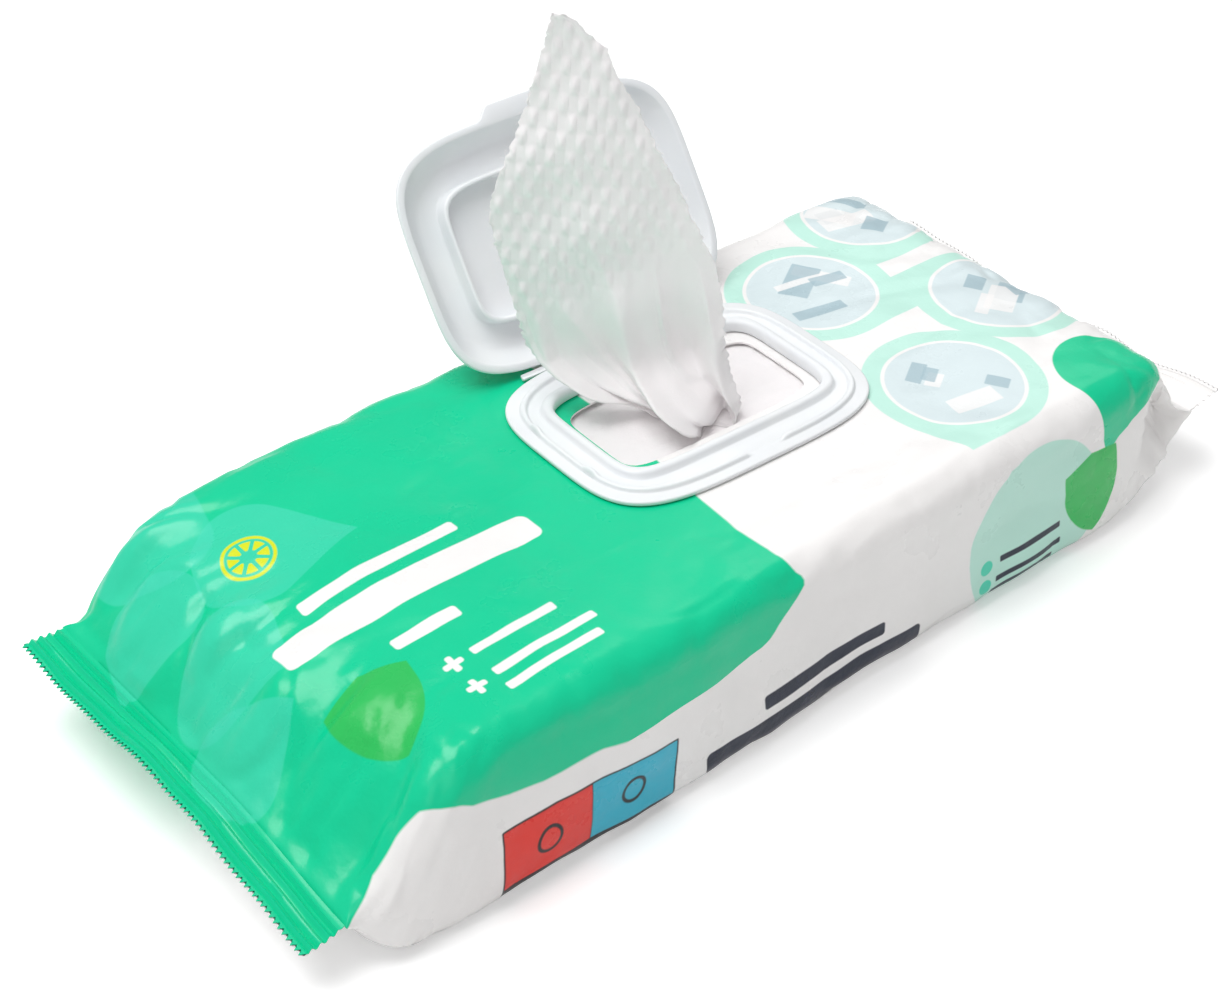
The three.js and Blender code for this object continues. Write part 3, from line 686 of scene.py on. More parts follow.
@dataclass
class FilmWrapper:
    """The printed film pack with its end seals and its mouth, in millimetres."""

    left: float = -146.0
    right: float = 144.0
    height: float = 45.65
    half: float = 59.0
    left_seal: float = 11.0
    right_seal: float = 12.0
    top_radius: float = 8.0
    low_radius: float = 6.0
    narrowing: float = 3.0
    tooth_pitch: float = 1.5
    tooth_depth: float = 1.3
    wall: float = 0.5
    mouth: tuple[float, float, float] = (28.5, 14.0, 7.0)
    # Distance from the seal, underside and top as shares, loss of half width.
    left_end: tuple[EndStation, ...] = (
        EndStation(0, 1, 0, 2.4), EndStation(3, 0.74, 0.11, 2), EndStation(6, 0.44, 0.26, 1.6),
        EndStation(9, 0.19, 0.40, 1.2), EndStation(12, 0.05, 0.53, 0.9), EndStation(14.5, 0, 0.64, 0.7),
        EndStation(17, 0, 0.73, 0.5), EndStation(22, 0, 0.84, 0.3), EndStation(29, 0, 0.91, 0),
        EndStation(38, 0, 0.95, 0), EndStation(48, 0, 0.98, 0), EndStation(63, 0, 1, 0),
    )
    right_end: tuple[EndStation, ...] = (
        EndStation(0, 1, 0, 2.4), EndStation(2.5, 0.82, 0.06, 2), EndStation(5, 0.60, 0.15, 1.7),
        EndStation(7.5, 0.42, 0.36, 1.4), EndStation(10, 0.31, 0.62, 1.2), EndStation(13, 0.23, 0.83, 1),
        EndStation(17, 0.15, 0.94, 0.7), EndStation(22, 0.08, 0.98, 0.4), EndStation(27, 0.03, 0.995, 0.2),
        EndStation(33, 0, 1, 0), EndStation(40, 0, 1, 0),
    )
    # Broad folds of the left end: place across, slant.
    fold_places: tuple[tuple[float, float], ...] = (
        (-45, 0.35), (-22, 0.2), (2, -0.1), (25, -0.25), (46, -0.4),
    )
    fold_depth: float = 2.4
    fold_half_width: float = 6.0
    sag_depth: float = 7.0
    droop_depth: float = 7.5
    belly_depth: tuple[float, float] = (0.8, 2.4)
    tuck_depth: float = 8.0
    hood_drop: float = 1.2
    # Half of what the two films of a seal and the glue between them take up.
    seal_gap: float = 0.25
    crimp_depth: float = 0.5
    crimp_pitch: float = 2.2
    # Points of a section: flat, top corner, side, low corner; then stations of the three parts.
    runs: tuple[int, int, int, int] = (84, 14, 18, 10)
    stations: tuple[int, int, int] = (66, 92, 60)
    ends: tuple[float, float] = (-96.0, 94.0)
    crumpled: Crumple = Crumple()

    @classmethod
    def from_frame(cls) -> "FilmWrapper":
        """Take the packet's outer sizes from the frame's own solid."""
        low, high = node_bounds("film_wrapper")
        return cls(left=low[0], right=high[0], height=high[2], half=high[1])

    @property
    def seal_half(self) -> float:
        """Half length of the seals."""
        return self.half - self.narrowing

    @property
    def left_z(self) -> float:
        """Height of the left seal."""
        return 0.45 * self.height

    @property
    def right_z(self) -> float:
        """Height of the right seal."""
        return 0.48 * self.height

    def table(self, x: Array) -> tuple[Array, ...]:
        """Underside, top and half width at each place."""
        rows = []
        for end, start, inward, level in (
            (self.left_end, self.left + self.left_seal, 1, self.left_z),
            (self.right_end, self.right - self.right_seal, -1, self.right_z),
        ):
            for e in end:
                over = level + self.seal_gap + (self.height - level - self.seal_gap) * e.over
                under = (level - self.seal_gap) * e.under
                rows.append((start + inward * e.along, under, over, self.half - e.narrower))
        data = np.array(sorted(rows))
        return tuple(self.eased(x, data[:, 0], data[:, k]) for k in (1, 2, 3))

    @staticmethod
    def eased(x: Array, places: Array, values: Array) -> Array:
        """Interpolate and round the corners of the table a little."""
        total = np.zeros_like(x)
        for shift in (-1.2, -0.6, 0.0, 0.6, 1.2):
            total += np.interp(np.clip(x + shift, places[0], places[-1]), places, values)
        near = np.minimum(x - places[0], places[-1] - x)
        share = smooth(0.0, 2.5, near)
        return share * total / 5 + (1 - share) * np.interp(x, places, values)

    def section(self, low: float, high: float, half: float) -> Array:
        """One section from the bottom centre up the back, over the top and down the front.

        Args:
            low: Height of the underside.
            high: Height of the top.
            half: Half width.

        Returns:
            Rows of across, height and girth place.
        """
        tall = high - low
        rt = min(self.top_radius, tall * 0.46)
        rb = min(self.low_radius, tall * 0.46)
        n_flat, n_top, n_side, n_low = self.runs
        pts: list[tuple[float, float]] = []

        def line(a: tuple[float, float], b: tuple[float, float], n: int) -> None:
            """Straight run of points."""
            for i in range(n):
                pts.append((a[0] + (b[0] - a[0]) * i / n, a[1] + (b[1] - a[1]) * i / n))

        def arc(cy: float, cz: float, r: float, a0: float, a1: float, n: int) -> None:
            """Corner of points."""
            for i in range(n):
                t = math.radians(a0 + (a1 - a0) * i / n)
                pts.append((cy + r * math.cos(t), cz + r * math.sin(t)))

        line((0, low), (half - rb, low), n_flat // 2)
        arc(half - rb, low + rb, rb, -90, 0, n_low)
        line((half, low + rb), (half, high - rt), n_side)
        arc(half - rt, high - rt, rt, 0, 90, n_top)
        line((half - rt, high), (-(half - rt), high), n_flat)
        arc(-(half - rt), high - rt, rt, 90, 180, n_top)
        line((-half, high - rt), (-half, low + rb), n_side)
        arc(-(half - rb), low + rb, rb, 180, 270, n_low)
        line((-(half - rb), low), (0, low), n_flat // 2)
        pts.append((0, low))
        path = np.array(pts)
        run = np.concatenate([[0], np.cumsum(np.hypot(*np.diff(path, axis=0).T))])
        first = n_flat // 2 + n_low + n_side + n_top
        top = slice(first, first + n_flat + 1)
        crown = np.interp(0.0, -path[top, 0], run[top])
        return np.column_stack([path, run - crown])

    def body_grid(self) -> tuple[Array, Array]:
        """Grid of the film body and its unrolled places."""
        a, b = self.left + self.left_seal, self.right - self.right_seal
        parts = (
            np.linspace(a, self.ends[0], self.stations[0], endpoint=False),
            np.linspace(self.ends[0], self.ends[1], self.stations[1], endpoint=False),
            np.linspace(self.ends[1], b, self.stations[2]),
        )
        x = np.concatenate(parts)
        low, high, half = self.table(x)
        rows, flat = [], []
        for k, place in enumerate(x):
            cut = self.section(low[k], high[k], half[k])
            rows.append(np.column_stack([np.full(len(cut), place), cut[:, 0], cut[:, 1]]))
            flat.append(np.column_stack([np.full(len(cut), place), cut[:, 2]]))
        return np.array(rows), np.array(flat)

    def sag(self, x: Array, y: Array) -> Array:
        """How far the top hangs down towards the left seal's front corner."""
        seal = self.left + self.left_seal
        along = smooth(0, 19, seal + 32 - x)
        return self.sag_depth * along * smooth(0, self.half, -y) * smooth(0, 10, x - seal)

    def folds(self, x: Array, y: Array) -> Array:
        """Depth of the broad folds that fan out of the left seal."""
        seal = self.left + self.left_seal
        depth = np.zeros_like(x)
        for place, slant in self.fold_places:
            off = y - place - slant * (x - seal - 17)
            depth += np.exp(-((off / self.fold_half_width) ** 2))
        return self.fold_depth * depth * smooth(0, 34, seal + 51 - x) * smooth(0, 6, x - seal)

    def droop(self, x: Array, y: Array) -> Array:
        """How far the left seal and the film next to it hang down in front."""
        return self.droop_depth * smooth(-112, -144, x) * smooth(12, 58, -y)

    def belly(self, x: Array, y: Array, z: Array) -> Array:
        """How far the wipes press the foot of the front side outwards."""
        seal = self.left + self.left_seal
        along = self.belly_depth[0] + self.belly_depth[1] * smooth(25, -50, x)
        ends = smooth(seal, seal + 12, x) * smooth(120, 104, x)
        return along * ends * smooth(self.height, 12, z) * smooth(40, self.half - 3, -y)

    def outwards(self, grid: Array) -> Array:
        """Unit normals of a grid of rings, out of the packet."""
        du = np.gradient(grid, axis=0)
        dv = np.gradient(grid, axis=1)
        normal = np.cross(du, dv)
        normal = normal / np.maximum(np.linalg.norm(normal, axis=-1, keepdims=True), 1e-9)
        sign = np.sign((normal[..., 1] * grid[..., 1] + normal[..., 2] * (grid[..., 2] - 22)).sum())
        return normal * sign

    def wrinkles(self, x: Array, y: Array, z: Array, v: Array) -> Array:
        """How far each place is pushed outwards by the wipes and the pull of the seals.

        Args:
            x: Place along the packet.
            y: Place across it.
            z: Height.
            v: Girth place on the unrolled film.

        Returns:
            Push along the film's normal.
        """
        c = self.crumpled
        soft, fine, pull, sharp, facet = Waves(3), Waves(8), Waves(21), Waves(34), Waves(55, 12, 0.4)
        cx, cy = TOP.local(x, y)
        near = ((np.abs(cx) / 44) ** 4 + (np.abs(cy) / 33) ** 4) ** 0.25
        free = np.where(z > 40, smooth(1.0, 1.3, near), 1.0)
        left = smooth(-84, -118, x)
        right = smooth(96, 120, x) * smooth(0, 8, self.right - self.right_seal - x)
        fan = v * (1 - 0.25 * left)
        push = c.broad * soft.at(x / 34, v / 26) + c.small * fine.at(x / 11, v / 9)
        push -= c.facets * facet.crease(x / 46, v / 30) * (1 - left)
        level = left * (1 - 0.8 * smooth(50, 62, np.abs(v)))
        long, short = c.left_creases
        push -= level * (long * pull.crease(x / 70, fan / 21) + short * facet.crease(x / 30, fan / 26))
        long, short = c.left_waves
        push += level * (long * pull.at(x / 46, fan / 12) + short * sharp.at(x / 20, fan / 5.5))
        push -= right * c.right_creases * sharp.crease(x / 46, v / 16)
        push += right * c.right_waves * sharp.at(x / 30, v / 12)
        side = smooth(34, 20, z) * smooth(3, 9, z) * (np.abs(y) > 50)
        push -= side * c.side_hollows * np.clip(soft.at(x / 52, z / 30), -0.3, 1)
        shoulder = np.exp(-(((np.abs(v) - 60) / 7.0) ** 2))
        push -= shoulder * (c.shoulder[0] + c.shoulder[1] * sharp.crease(x / 27, v / 60))
        puff = np.exp(-(((v - 55) / 9.0) ** 2)) * smooth(-6, 14, x) * smooth(74, 50, x)
        push += c.puff * puff
        return push * free

    def crumple(self, grid: Array, flat: Array) -> Array:
        """Push the film in and out, and let its left end hang and fold."""
        x, y, z = grid[..., 0], grid[..., 1], grid[..., 2]
        normal = self.outwards(grid)
        push = self.wrinkles(x, y, z, flat[..., 1])
        start, stop = self.left + self.left_seal, self.right - self.right_seal
        ends = smooth(0, 3.5, x - start) * smooth(0, 3.0, stop - x)
        out = grid + normal * (push * ends)[..., None]
        out[..., 1] -= self.belly(x, y, z)
        share = np.clip(grid[..., 2] / self.height, 0, 1)
        low, high = z.min(1, keepdims=True), z.max(1, keepdims=True)
        tall = high - low
        upper = smooth(0.6, 1.0, (z - low) / np.maximum(tall, 1e-6)) * np.minimum(1, tall / 30)
        hang = self.sag(x, y) * share + self.droop(x, y) * smooth(2, 14, z)
        out[..., 2] -= hang + self.folds(x, y) * upper
        under = grid[..., 2] < 0.4
        out[..., 2] = np.where(under, np.maximum(grid[..., 2], 0.0), np.maximum(out[..., 2], 0.0))
        return out

    def tuck(self, grid: Array) -> Array:
        """Draw the sides in under the top film at the right-hand end, as a folded gusset."""
        x, y, z = grid[..., 0], grid[..., 1], grid[..., 2]
        seal = self.right - self.right_seal
        low, high = z.min(1, keepdims=True), z.max(1, keepdims=True)
        share = (z - low) / np.maximum(high - low, 1e-6)
        along = smooth(seal - 24, seal - 12, x) * smooth(0, 7, seal - x)
        reach = along * smooth(0.1, 0.34, 1 - share) * smooth(0.08, 0.6, share)
        grid = grid.copy()
        grid[..., 1] = y - np.sign(y) * reach * self.tuck_depth * smooth(30, 56, np.abs(y))
        hood = smooth(seal - 20, seal - 9, x) * smooth(0.6, 0.95, share)
        grid[..., 2] = z - hood * self.hood_drop * (1 - (y / 60) ** 2)
        return grid

    def lining(self, grid: Array) -> list[Array]:
        """Rings of the film's inner side, a wall's thickness inside the crumpled skin."""
        coarse = grid[::3, :-1:3]
        closed = np.concatenate([coarse[:, -1:], coarse, coarse[:, :1]], axis=1)
        normal = self.outwards(closed)[:, 1:-1]
        cx, cy = TOP.local(coarse[..., 0], coarse[..., 1])
        far = smooth(34, 52, np.hypot(cx * 0.9, cy)) + (coarse[..., 2] < 40)
        inner = coarse - normal * (self.wall + 0.8 * np.clip(far, 0, 1))[..., None]
        tall = coarse[..., 2].max(1) - coarse[..., 2].min(1)
        return [ring for ring, height in zip(inner, tall) if height > 0.8 * self.height]

    def seal(
        self, inner: float, outer: float, height: HeightRule
    ) -> tuple[Array, list[list[int]], Array]:
        """One crimped end seal with a serrated edge.

        Args:
            inner: Where the seal leaves the body.
            outer: Its serrated edge.
            height: Height of its middle at a place.

        Returns:
            Points, faces and the unrolled places of the points.
        """
        teeth = round(2 * self.seal_half / self.tooth_pitch)
        columns = teeth * 2 + 1
        across = np.linspace(-self.seal_half, self.seal_half, columns)
        rows = 40 if abs(outer - inner) > 15 else 30
        share = np.linspace(0, 1, rows)
        side = math.copysign(1.0, outer - inner)
        grid = np.zeros((rows, columns, 2))
        zig = np.where(np.arange(columns) % 2 == 0, self.tooth_depth, 0.0)
        for k, t in enumerate(share):
            grid[k, :, 0] = inner + (outer - inner) * t - side * zig * max(0.0, (t - 0.93) / 0.07)
            grid[k, :, 1] = across
        x, y = grid[..., 0], grid[..., 1]
        middle = height(x, y)
        depth = np.abs(outer - x)
        ribbed = smooth(1.3, 2.2, depth) * smooth(10.2, 9.4, depth)
        crimp = self.crimp_depth * np.cos((depth - 2.9) * 2 * math.pi / self.crimp_pitch) * ribbed
        thick = 0.16 + 0.12 * smooth(8, 11, depth)
        upper = np.stack([x, y, middle + crimp + thick], -1)
        lower = np.stack([x, y, middle + crimp - thick], -1)
        points = np.concatenate([upper.reshape(-1, 3), lower.reshape(-1, 3)])
        above = np.stack([x, -y], -1)
        below = np.stack([x, np.sign(-y + 1e-9) * (115 - np.abs(y))], -1)
        flat = np.concatenate([above.reshape(-1, 2), below.reshape(-1, 2)])
        off = rows * columns
        faces = []
        for r in range(rows - 1):
            for c in range(columns - 1):
                a = r * columns + c
                b, d, e = a + 1, a + columns, a + columns + 1
                faces.append([a, b, e, d])
                faces.append([off + a, off + d, off + e, off + b])
        for c in range(columns - 1):
            faces.append([c + 1, c, off + c, off + c + 1])
            last = (rows - 1) * columns + c
            faces.append([last, last + 1, off + last + 1, off + last])
        for r in range(rows - 1):
            a, b = r * columns, (r + 1) * columns
            faces.append([a, b, off + b, off + a])
            a, b = a + columns - 1, b + columns - 1
            faces.append([b, a, off + a, off + b])
        return points, faces, flat

    def left_height(self, x: Array, y: Array) -> Array:
        """Middle height of the left seal, which droops past a kink near its front corner."""
        away = smooth(0, 9, self.left + self.left_seal - x)
        wave = 0.8 * away * np.sin(y / 8.5 + 0.6) + 0.4 * away * np.sin(y / 3.7)
        lift = 1.6 * away * smooth(30, -4, y) * smooth(-40, -10, y)
        return self.left_z + wave + lift - self.droop(x, y)

    def right_height(self, x: Array, y: Array) -> Array:
        """Middle height of the right seal."""
        away = smooth(0, 10, x - self.right + self.right_seal)
        dip = 3.6 * smooth(26, 4, np.abs(y - 6)) - 1.2 * smooth(-30, -54, y)
        return self.right_z + away * (0.9 * np.sin(y / 9 + 2.2) + 0.4 * np.sin(y / 4.1) - dip)

    def mouth_prism(self) -> bpy.types.Object:
        """Prism that cuts the mouth out of the top film."""
        outline = superellipse(*self.mouth, 120)
        rings = [TOP.at(np.column_stack([outline, np.full(len(outline), z)])) for z in (-1.8, 3.0)]
        prism = mesh_object("film_mouth", np.concatenate(rings), ring_faces(2, 120, False))
        face_outwards(prism)
        return prism

    def build(self, finish: bpy.types.Material) -> bpy.types.Object:
        """Make the film, cut its mouth and add the seals.

        Args:
            finish: Material of the printed film.

        Returns:
            The whole film as one object.
        """
        grid, flat = self.body_grid()
        grid = self.tuck(self.crumple(grid, flat))
        body = self.skin(grid, flat)
        self.add_lining(body, self.lining(grid))
        self.cut_mouth(body)
        self.add_seals(body)
        body.data.shade_smooth()
        body.data.set_sharp_from_angle(angle=math.radians(50))
        body.data.materials.clear()
        body.data.materials.append(finish)
        LOG.info("film: %d faces", len(body.data.polygons))
        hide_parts("film_wrapper")
        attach(body, "packet")
        return body

    @staticmethod
    def skin(grid: Array, flat: Array) -> bpy.types.Object:
        """The film's outer side between the seals, closed at both ends."""
        rows, columns = grid.shape[:2]
        count = columns - 1
        points = grid[:, :count].reshape(-1, 3)
        faces, uv = [], []
        for r in range(rows - 1):
            for i in range(count):
                k = (i + 1) % count
                faces.append([r * count + i, (r + 1) * count + i, (r + 1) * count + k, r * count + k])
                uv += [flat[r, i], flat[r + 1, i], flat[r + 1, i + 1], flat[r, i + 1]]
        for r, order in ((0, list(range(count))), (rows - 1, list(reversed(range(count))))):
            faces.append([r * count + i for i in order])
            uv += [flat[r, i] for i in order]
        body = mesh_object("film_wrapper_skin", points, faces, (np.array(uv) + 200) * MM)
        face_outwards(body)
        return body

    def cut_mouth(self, body: bpy.types.Object) -> None:
        """Cut the mouth through the top film and leave its cut faces unprinted."""
        prism = self.mouth_prism()
        cut = body.modifiers.new("cut", "BOOLEAN")
        cut.operation = "DIFFERENCE"
        cut.solver = "EXACT"
        cut.object = prism
        made = bpy.data.meshes.new_from_object(body.evaluated_get(bpy.context.evaluated_depsgraph_get()))
        body.modifiers.clear()
        body.data = made
        bpy.data.objects.remove(prism)
        plain = Vector((230.0 * MM, 160.0 * MM))
        for corner in body.data.uv_layers["print"].data:
            if corner.uv.length < 0.001:
                corner.uv = plain

    def add_seals(self, body: bpy.types.Object) -> None:
        """Add both crimped seals to the film."""
        work = bmesh.new()
        work.from_mesh(body.data)
        layer = work.loops.layers.uv.get("print") or work.loops.layers.uv.new("print")
        joins = (
            (self.left + self.left_seal + 0.8, self.left, self.left_height),
            (self.right - self.right_seal - 0.8, self.right, self.right_height),
        )
        for inner, outer, height in joins:
            points, faces, places = self.seal(inner, outer, height)
            fresh = [work.verts.new(p * MM) for p in points]
            turn = outer > inner
            for f in faces:
                order = f if turn else f[::-1]
                face = work.faces.new([fresh[i] for i in order])
                face.smooth = True
                for loop, i in zip(face.loops, order):
                    loop[layer].uv = tuple((places[i] + 200) * MM)
        work.to_mesh(body.data)
        work.free()

    @staticmethod
    def add_lining(body: bpy.types.Object, rings: list[Array]) -> None:
        """Add the inner side of the film, facing into the packet."""
        points = np.concatenate(rings) * MM
        count = len(rings[0])
        work = bmesh.new()
        work.from_mesh(body.data)
        fresh = [work.verts.new(p) for p in points]
        made = [work.faces.new([fresh[i] for i in f]) for f in ring_faces(len(rings), count, False)]
        middle = Vector(points.mean(0))
        facing = 0.0
        for f in made:
            f.normal_update()
            facing += f.calc_area() * f.normal.dot(f.calc_center_median() - middle)
        if facing > 0:
            bmesh.ops.reverse_faces(work, faces=made)
        for f in made:
            f.smooth = True
        work.to_mesh(body.data)
        work.free()


@dataclass
class Closure:
    """Base ring, lid and living hinge of the closure."""

    flange: tuple[float, float, float] = (42.0, 30.8, 4.0)
    flange_thick: float = 1.2
    bead_inset: float = 3.0
    bead_rise: float = 1.1
    collar: tuple[float, float, float] = (33.6, 21.1, 6.3)
    collar_width: float = 2.6
    collar_rise: float = 1.9
    lid: tuple[float, float, float] = (42.9, 30.5, 4.4)
    lid_depth: float = 6.2
    lid_lean: float = 5.2
    open_deg: float = 124.65
    axis: tuple[float, float] = (31.4, 1.0)
    tab_reach: float = 3.2
    tab_half: float = 13.0
    web_half: float = 27.0
    count: int = 240

    def ring(self, half_x: float, half_y: float, power: float, z: float | HeightRule) -> Array:
        """One ring of closure points."""
        flat = superellipse(half_x, half_y, power, self.count)
        height = z(flat[:, 0], flat[:, 1]) if callable(z) else np.full(len(flat), z)
        return np.column_stack([flat, height])

    def bead_top(self, x: Array, y: Array) -> Array:
        """Height of the bead, with its front gap and its two nubs."""
        z = np.full(len(x), self.flange_thick + self.bead_rise)
        gap = smooth(6.2, 4.8, np.abs(x - 1)) * (y < 0)
        nub = smooth(2.4, 1.2, np.abs(np.abs(y) - 10.5)) * (x < 0)
        return z - gap * self.bead_rise * 0.85 + nub * 0.9

    def turned(self, profile: Sequence[tuple]) -> list[Array]:
        """Rings of a profile: outline, how far inside it, height."""
        return [self.ring(o[0] - inset, o[1] - inset, o[2], z) for o, inset, z in profile]

    def base(self) -> bpy.types.Object:
        """The base ring."""
        fx, fy, fp = self.flange
        cx, cy, cp = self.collar
        t = self.flange_thick
        bx, by = fx - self.bead_inset, fy - self.bead_inset
        ix, iy = cx - self.collar_width, cy - self.collar_width
        crest = t + self.collar_rise

        def part(share: float) -> HeightRule:
            """Height between the flange and the crest of the bead."""
            return lambda x, y: t + 0.02 + (self.bead_top(x, y) - t - 0.02) * share

        flange, bead, collar, bore = (fx, fy, fp), (bx, by, fp), (cx, cy, cp), (ix, iy, cp)
        # Outline, how far inside it, height.
        profile = (
            (flange, 0.35, 0.0), (flange, 0.1, 0.1), (flange, 0, 0.35), (flange, 0, t - 0.4),
            (flange, 0.1, t - 0.12), (flange, 0.4, t),
            (bead, -0.35, t), (bead, -0.05, t + 0.1), (bead, 0.05, part(0.55)), (bead, 0.2, part(0.88)),
            (bead, 0.5, part(1.0)), (bead, 0.9, part(1.0)), (bead, 1.2, part(0.88)),
            (bead, 1.35, part(0.5)), (bead, 1.5, t + 0.08), (bead, 1.9, t - 0.05),
            (collar, -0.5, t - 0.05), (collar, -0.08, t + 0.12), (collar, 0.12, crest - 0.8),
            (collar, 0.35, crest - 0.28), (collar, 0.8, crest - 0.04), (collar, 1.3, crest),
            (bore, -0.75, crest - 0.06), (bore, -0.3, crest - 0.35), (bore, -0.08, crest - 0.9),
            (bore, 0, 0.4), (bore, -0.15, 0.0),
        )
        rings = self.turned(profile)
        points = TOP.at(np.concatenate(rings))
        faces = ring_faces(len(rings), self.count, True)
        obj = mesh_object("closure_base_moulding", points, faces, sharp_deg=62)
        face_outwards(obj)
        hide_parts("closure_base")
        return obj

    def opened(self, points: Array) -> Array:
        """Swing shut lid points open and put them on the packet."""
        a = math.radians(self.open_deg)
        c, s = math.cos(a), math.sin(a)
        y, z = points[:, 1] - self.axis[0], points[:, 2] - self.axis[1]
        out = points.copy()
        out[:, 1] = self.axis[0] + c * y + s * z
        out[:, 2] = self.axis[1] - s * y + c * z
        return TOP.at(out)

    def lid_moulding(self) -> bpy.types.Object:
        """The tray lid with its plug ridge and thumb tab."""
        lx, ly, lp = self.lid
        cx, cy, cp = self.collar
        rim = self.flange_thick + 0.3
        roof = rim + self.lid_depth
        under = roof - 1.2
        tx, ty = lx - self.lid_lean, ly - self.lid_lean
        px, py = cx - self.collar_width - 0.4, cy - self.collar_width - 0.4
        foot = under - 4.0

        rim_edge, roof_edge, plug = (lx, ly, lp), (tx, ty, lp), (px, py, cp)
        # Outline, how far inside it, height; the thumb tab's share is given where it stands out.
        outer = (
            (roof_edge, 1.4, roof), (roof_edge, 0.2, roof - 0.1), (roof_edge, -0.7, roof - 0.5),
            (roof_edge, -1.6, roof - 1.25), (roof_edge, -2.4, roof - 2.2),
            (rim_edge, 1.5, rim + 1.9), (rim_edge, 1.05, rim + 1.45),
        )
        tabbed = (
            (0.7, rim + 1.3, 0.5), (0.35, rim + 1.26, 1.0), (0.08, rim + 1.1, 1.0), (0, rim + 0.8, 1.0),
            (0, rim + 0.4, 1.0), (0.1, rim + 0.12, 1.0), (0.35, rim, 1.0),
        )
        inner = (
            (rim_edge, 1.4, rim), (rim_edge, 1.75, rim + 0.08), (rim_edge, 2.0, rim + 0.35),
            (rim_edge, 2.3, rim + 1.3), (roof_edge, -0.6, under - 1.7), (roof_edge, 0.2, under - 0.75),
            (roof_edge, 1.1, under - 0.18), (roof_edge, 2.1, under),
            (plug, -0.5, under), (plug, -0.08, under - 0.15), (plug, 0, under - 0.6),
            (plug, 0, foot + 0.45), (plug, 0.12, foot + 0.12), (plug, 0.4, foot), (plug, 0.75, foot),
            (plug, 1.0, foot + 0.12), (plug, 1.1, foot + 0.45), (plug, 1.1, under - 0.6),
            (plug, 1.2, under - 0.15), (plug, 1.6, under),
        )
        rings = [self.ring(1.5, 1.0, 2.2, roof), self.ring(tx * 0.5, ty * 0.5, lp, roof)]
        rings += self.turned(outer)
        for inset, z, share in tabbed:
            ring = self.ring(lx - inset, ly - inset, lp, z)
            reach = self.tab_reach * share * smooth(0, 4, self.tab_half - np.abs(ring[:, 0]))
            ring[:, 1] -= np.where(ring[:, 1] < 0, reach, 0.0)
            rings.append(ring)
        rings += self.turned(inner)
        rings += [self.ring(px * 0.5, py * 0.5, cp, under), self.ring(1.5, 1.0, 2.2, under)]
        points = self.opened(np.concatenate(rings))
        faces = ring_faces(len(rings), self.count, False)
        obj = mesh_object("closure_lid_moulding", points, faces, sharp_deg=62)
        face_outwards(obj)
        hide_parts("closure_lid")
        return obj

    def web(self) -> bpy.types.Object:
        """The living hinge: a thin web with a round-bottomed groove and two side straps."""
        a = math.radians(self.open_deg)
        c, s = math.cos(a), math.sin(a)
        back = (self.lid[1] - self.axis[0] + 0.3, 0.35)
        end = (self.axis[0] + c * back[0] + s * back[1], self.axis[1] - s * back[0] + c * back[1])
        line = np.array([
            [self.flange[1] - 0.15, 0.75], [self.axis[0] - 0.2, 0.62],
            [self.axis[0] + 0.15, 0.62], [end[0], end[1] - 0.1],
        ])
        t = np.linspace(0, 1, 9)
        path = np.column_stack([np.interp(t, np.linspace(0, 1, 4), line[:, k]) for k in (0, 1)])
        rows = []
        for x in np.linspace(-self.web_half, self.web_half, 61):
            half = 0.17 + 0.08 * float(smooth(22, 26, np.array(abs(x))))
            up = np.column_stack([np.full(9, x), path[:, 0], path[:, 1] + half])
            low = np.column_stack([np.full(9, x), path[::-1, 0], path[::-1, 1] - half])
            rows.append(np.concatenate([up, low]))
        points = TOP.at(np.concatenate(rows))
        faces = ring_faces(len(rows), len(rows[0]), False)
        obj = mesh_object("hinge_web_strip", points, faces, sharp_deg=50)
        face_outwards(obj)
        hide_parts("hinge_web")
        return obj

    def build(self, finish: bpy.types.Material) -> list[bpy.types.Object]:
        """Make and dress the three mouldings."""
        made = [(self.base(), "packet"), (self.lid_moulding(), "lid"), (self.web(), "")]
        for obj, body in made:
            obj.data.materials.append(finish)
            if body:
                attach(obj, body)
        web = made[2][0]
        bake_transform(web)
        return [m[0] for m in made]


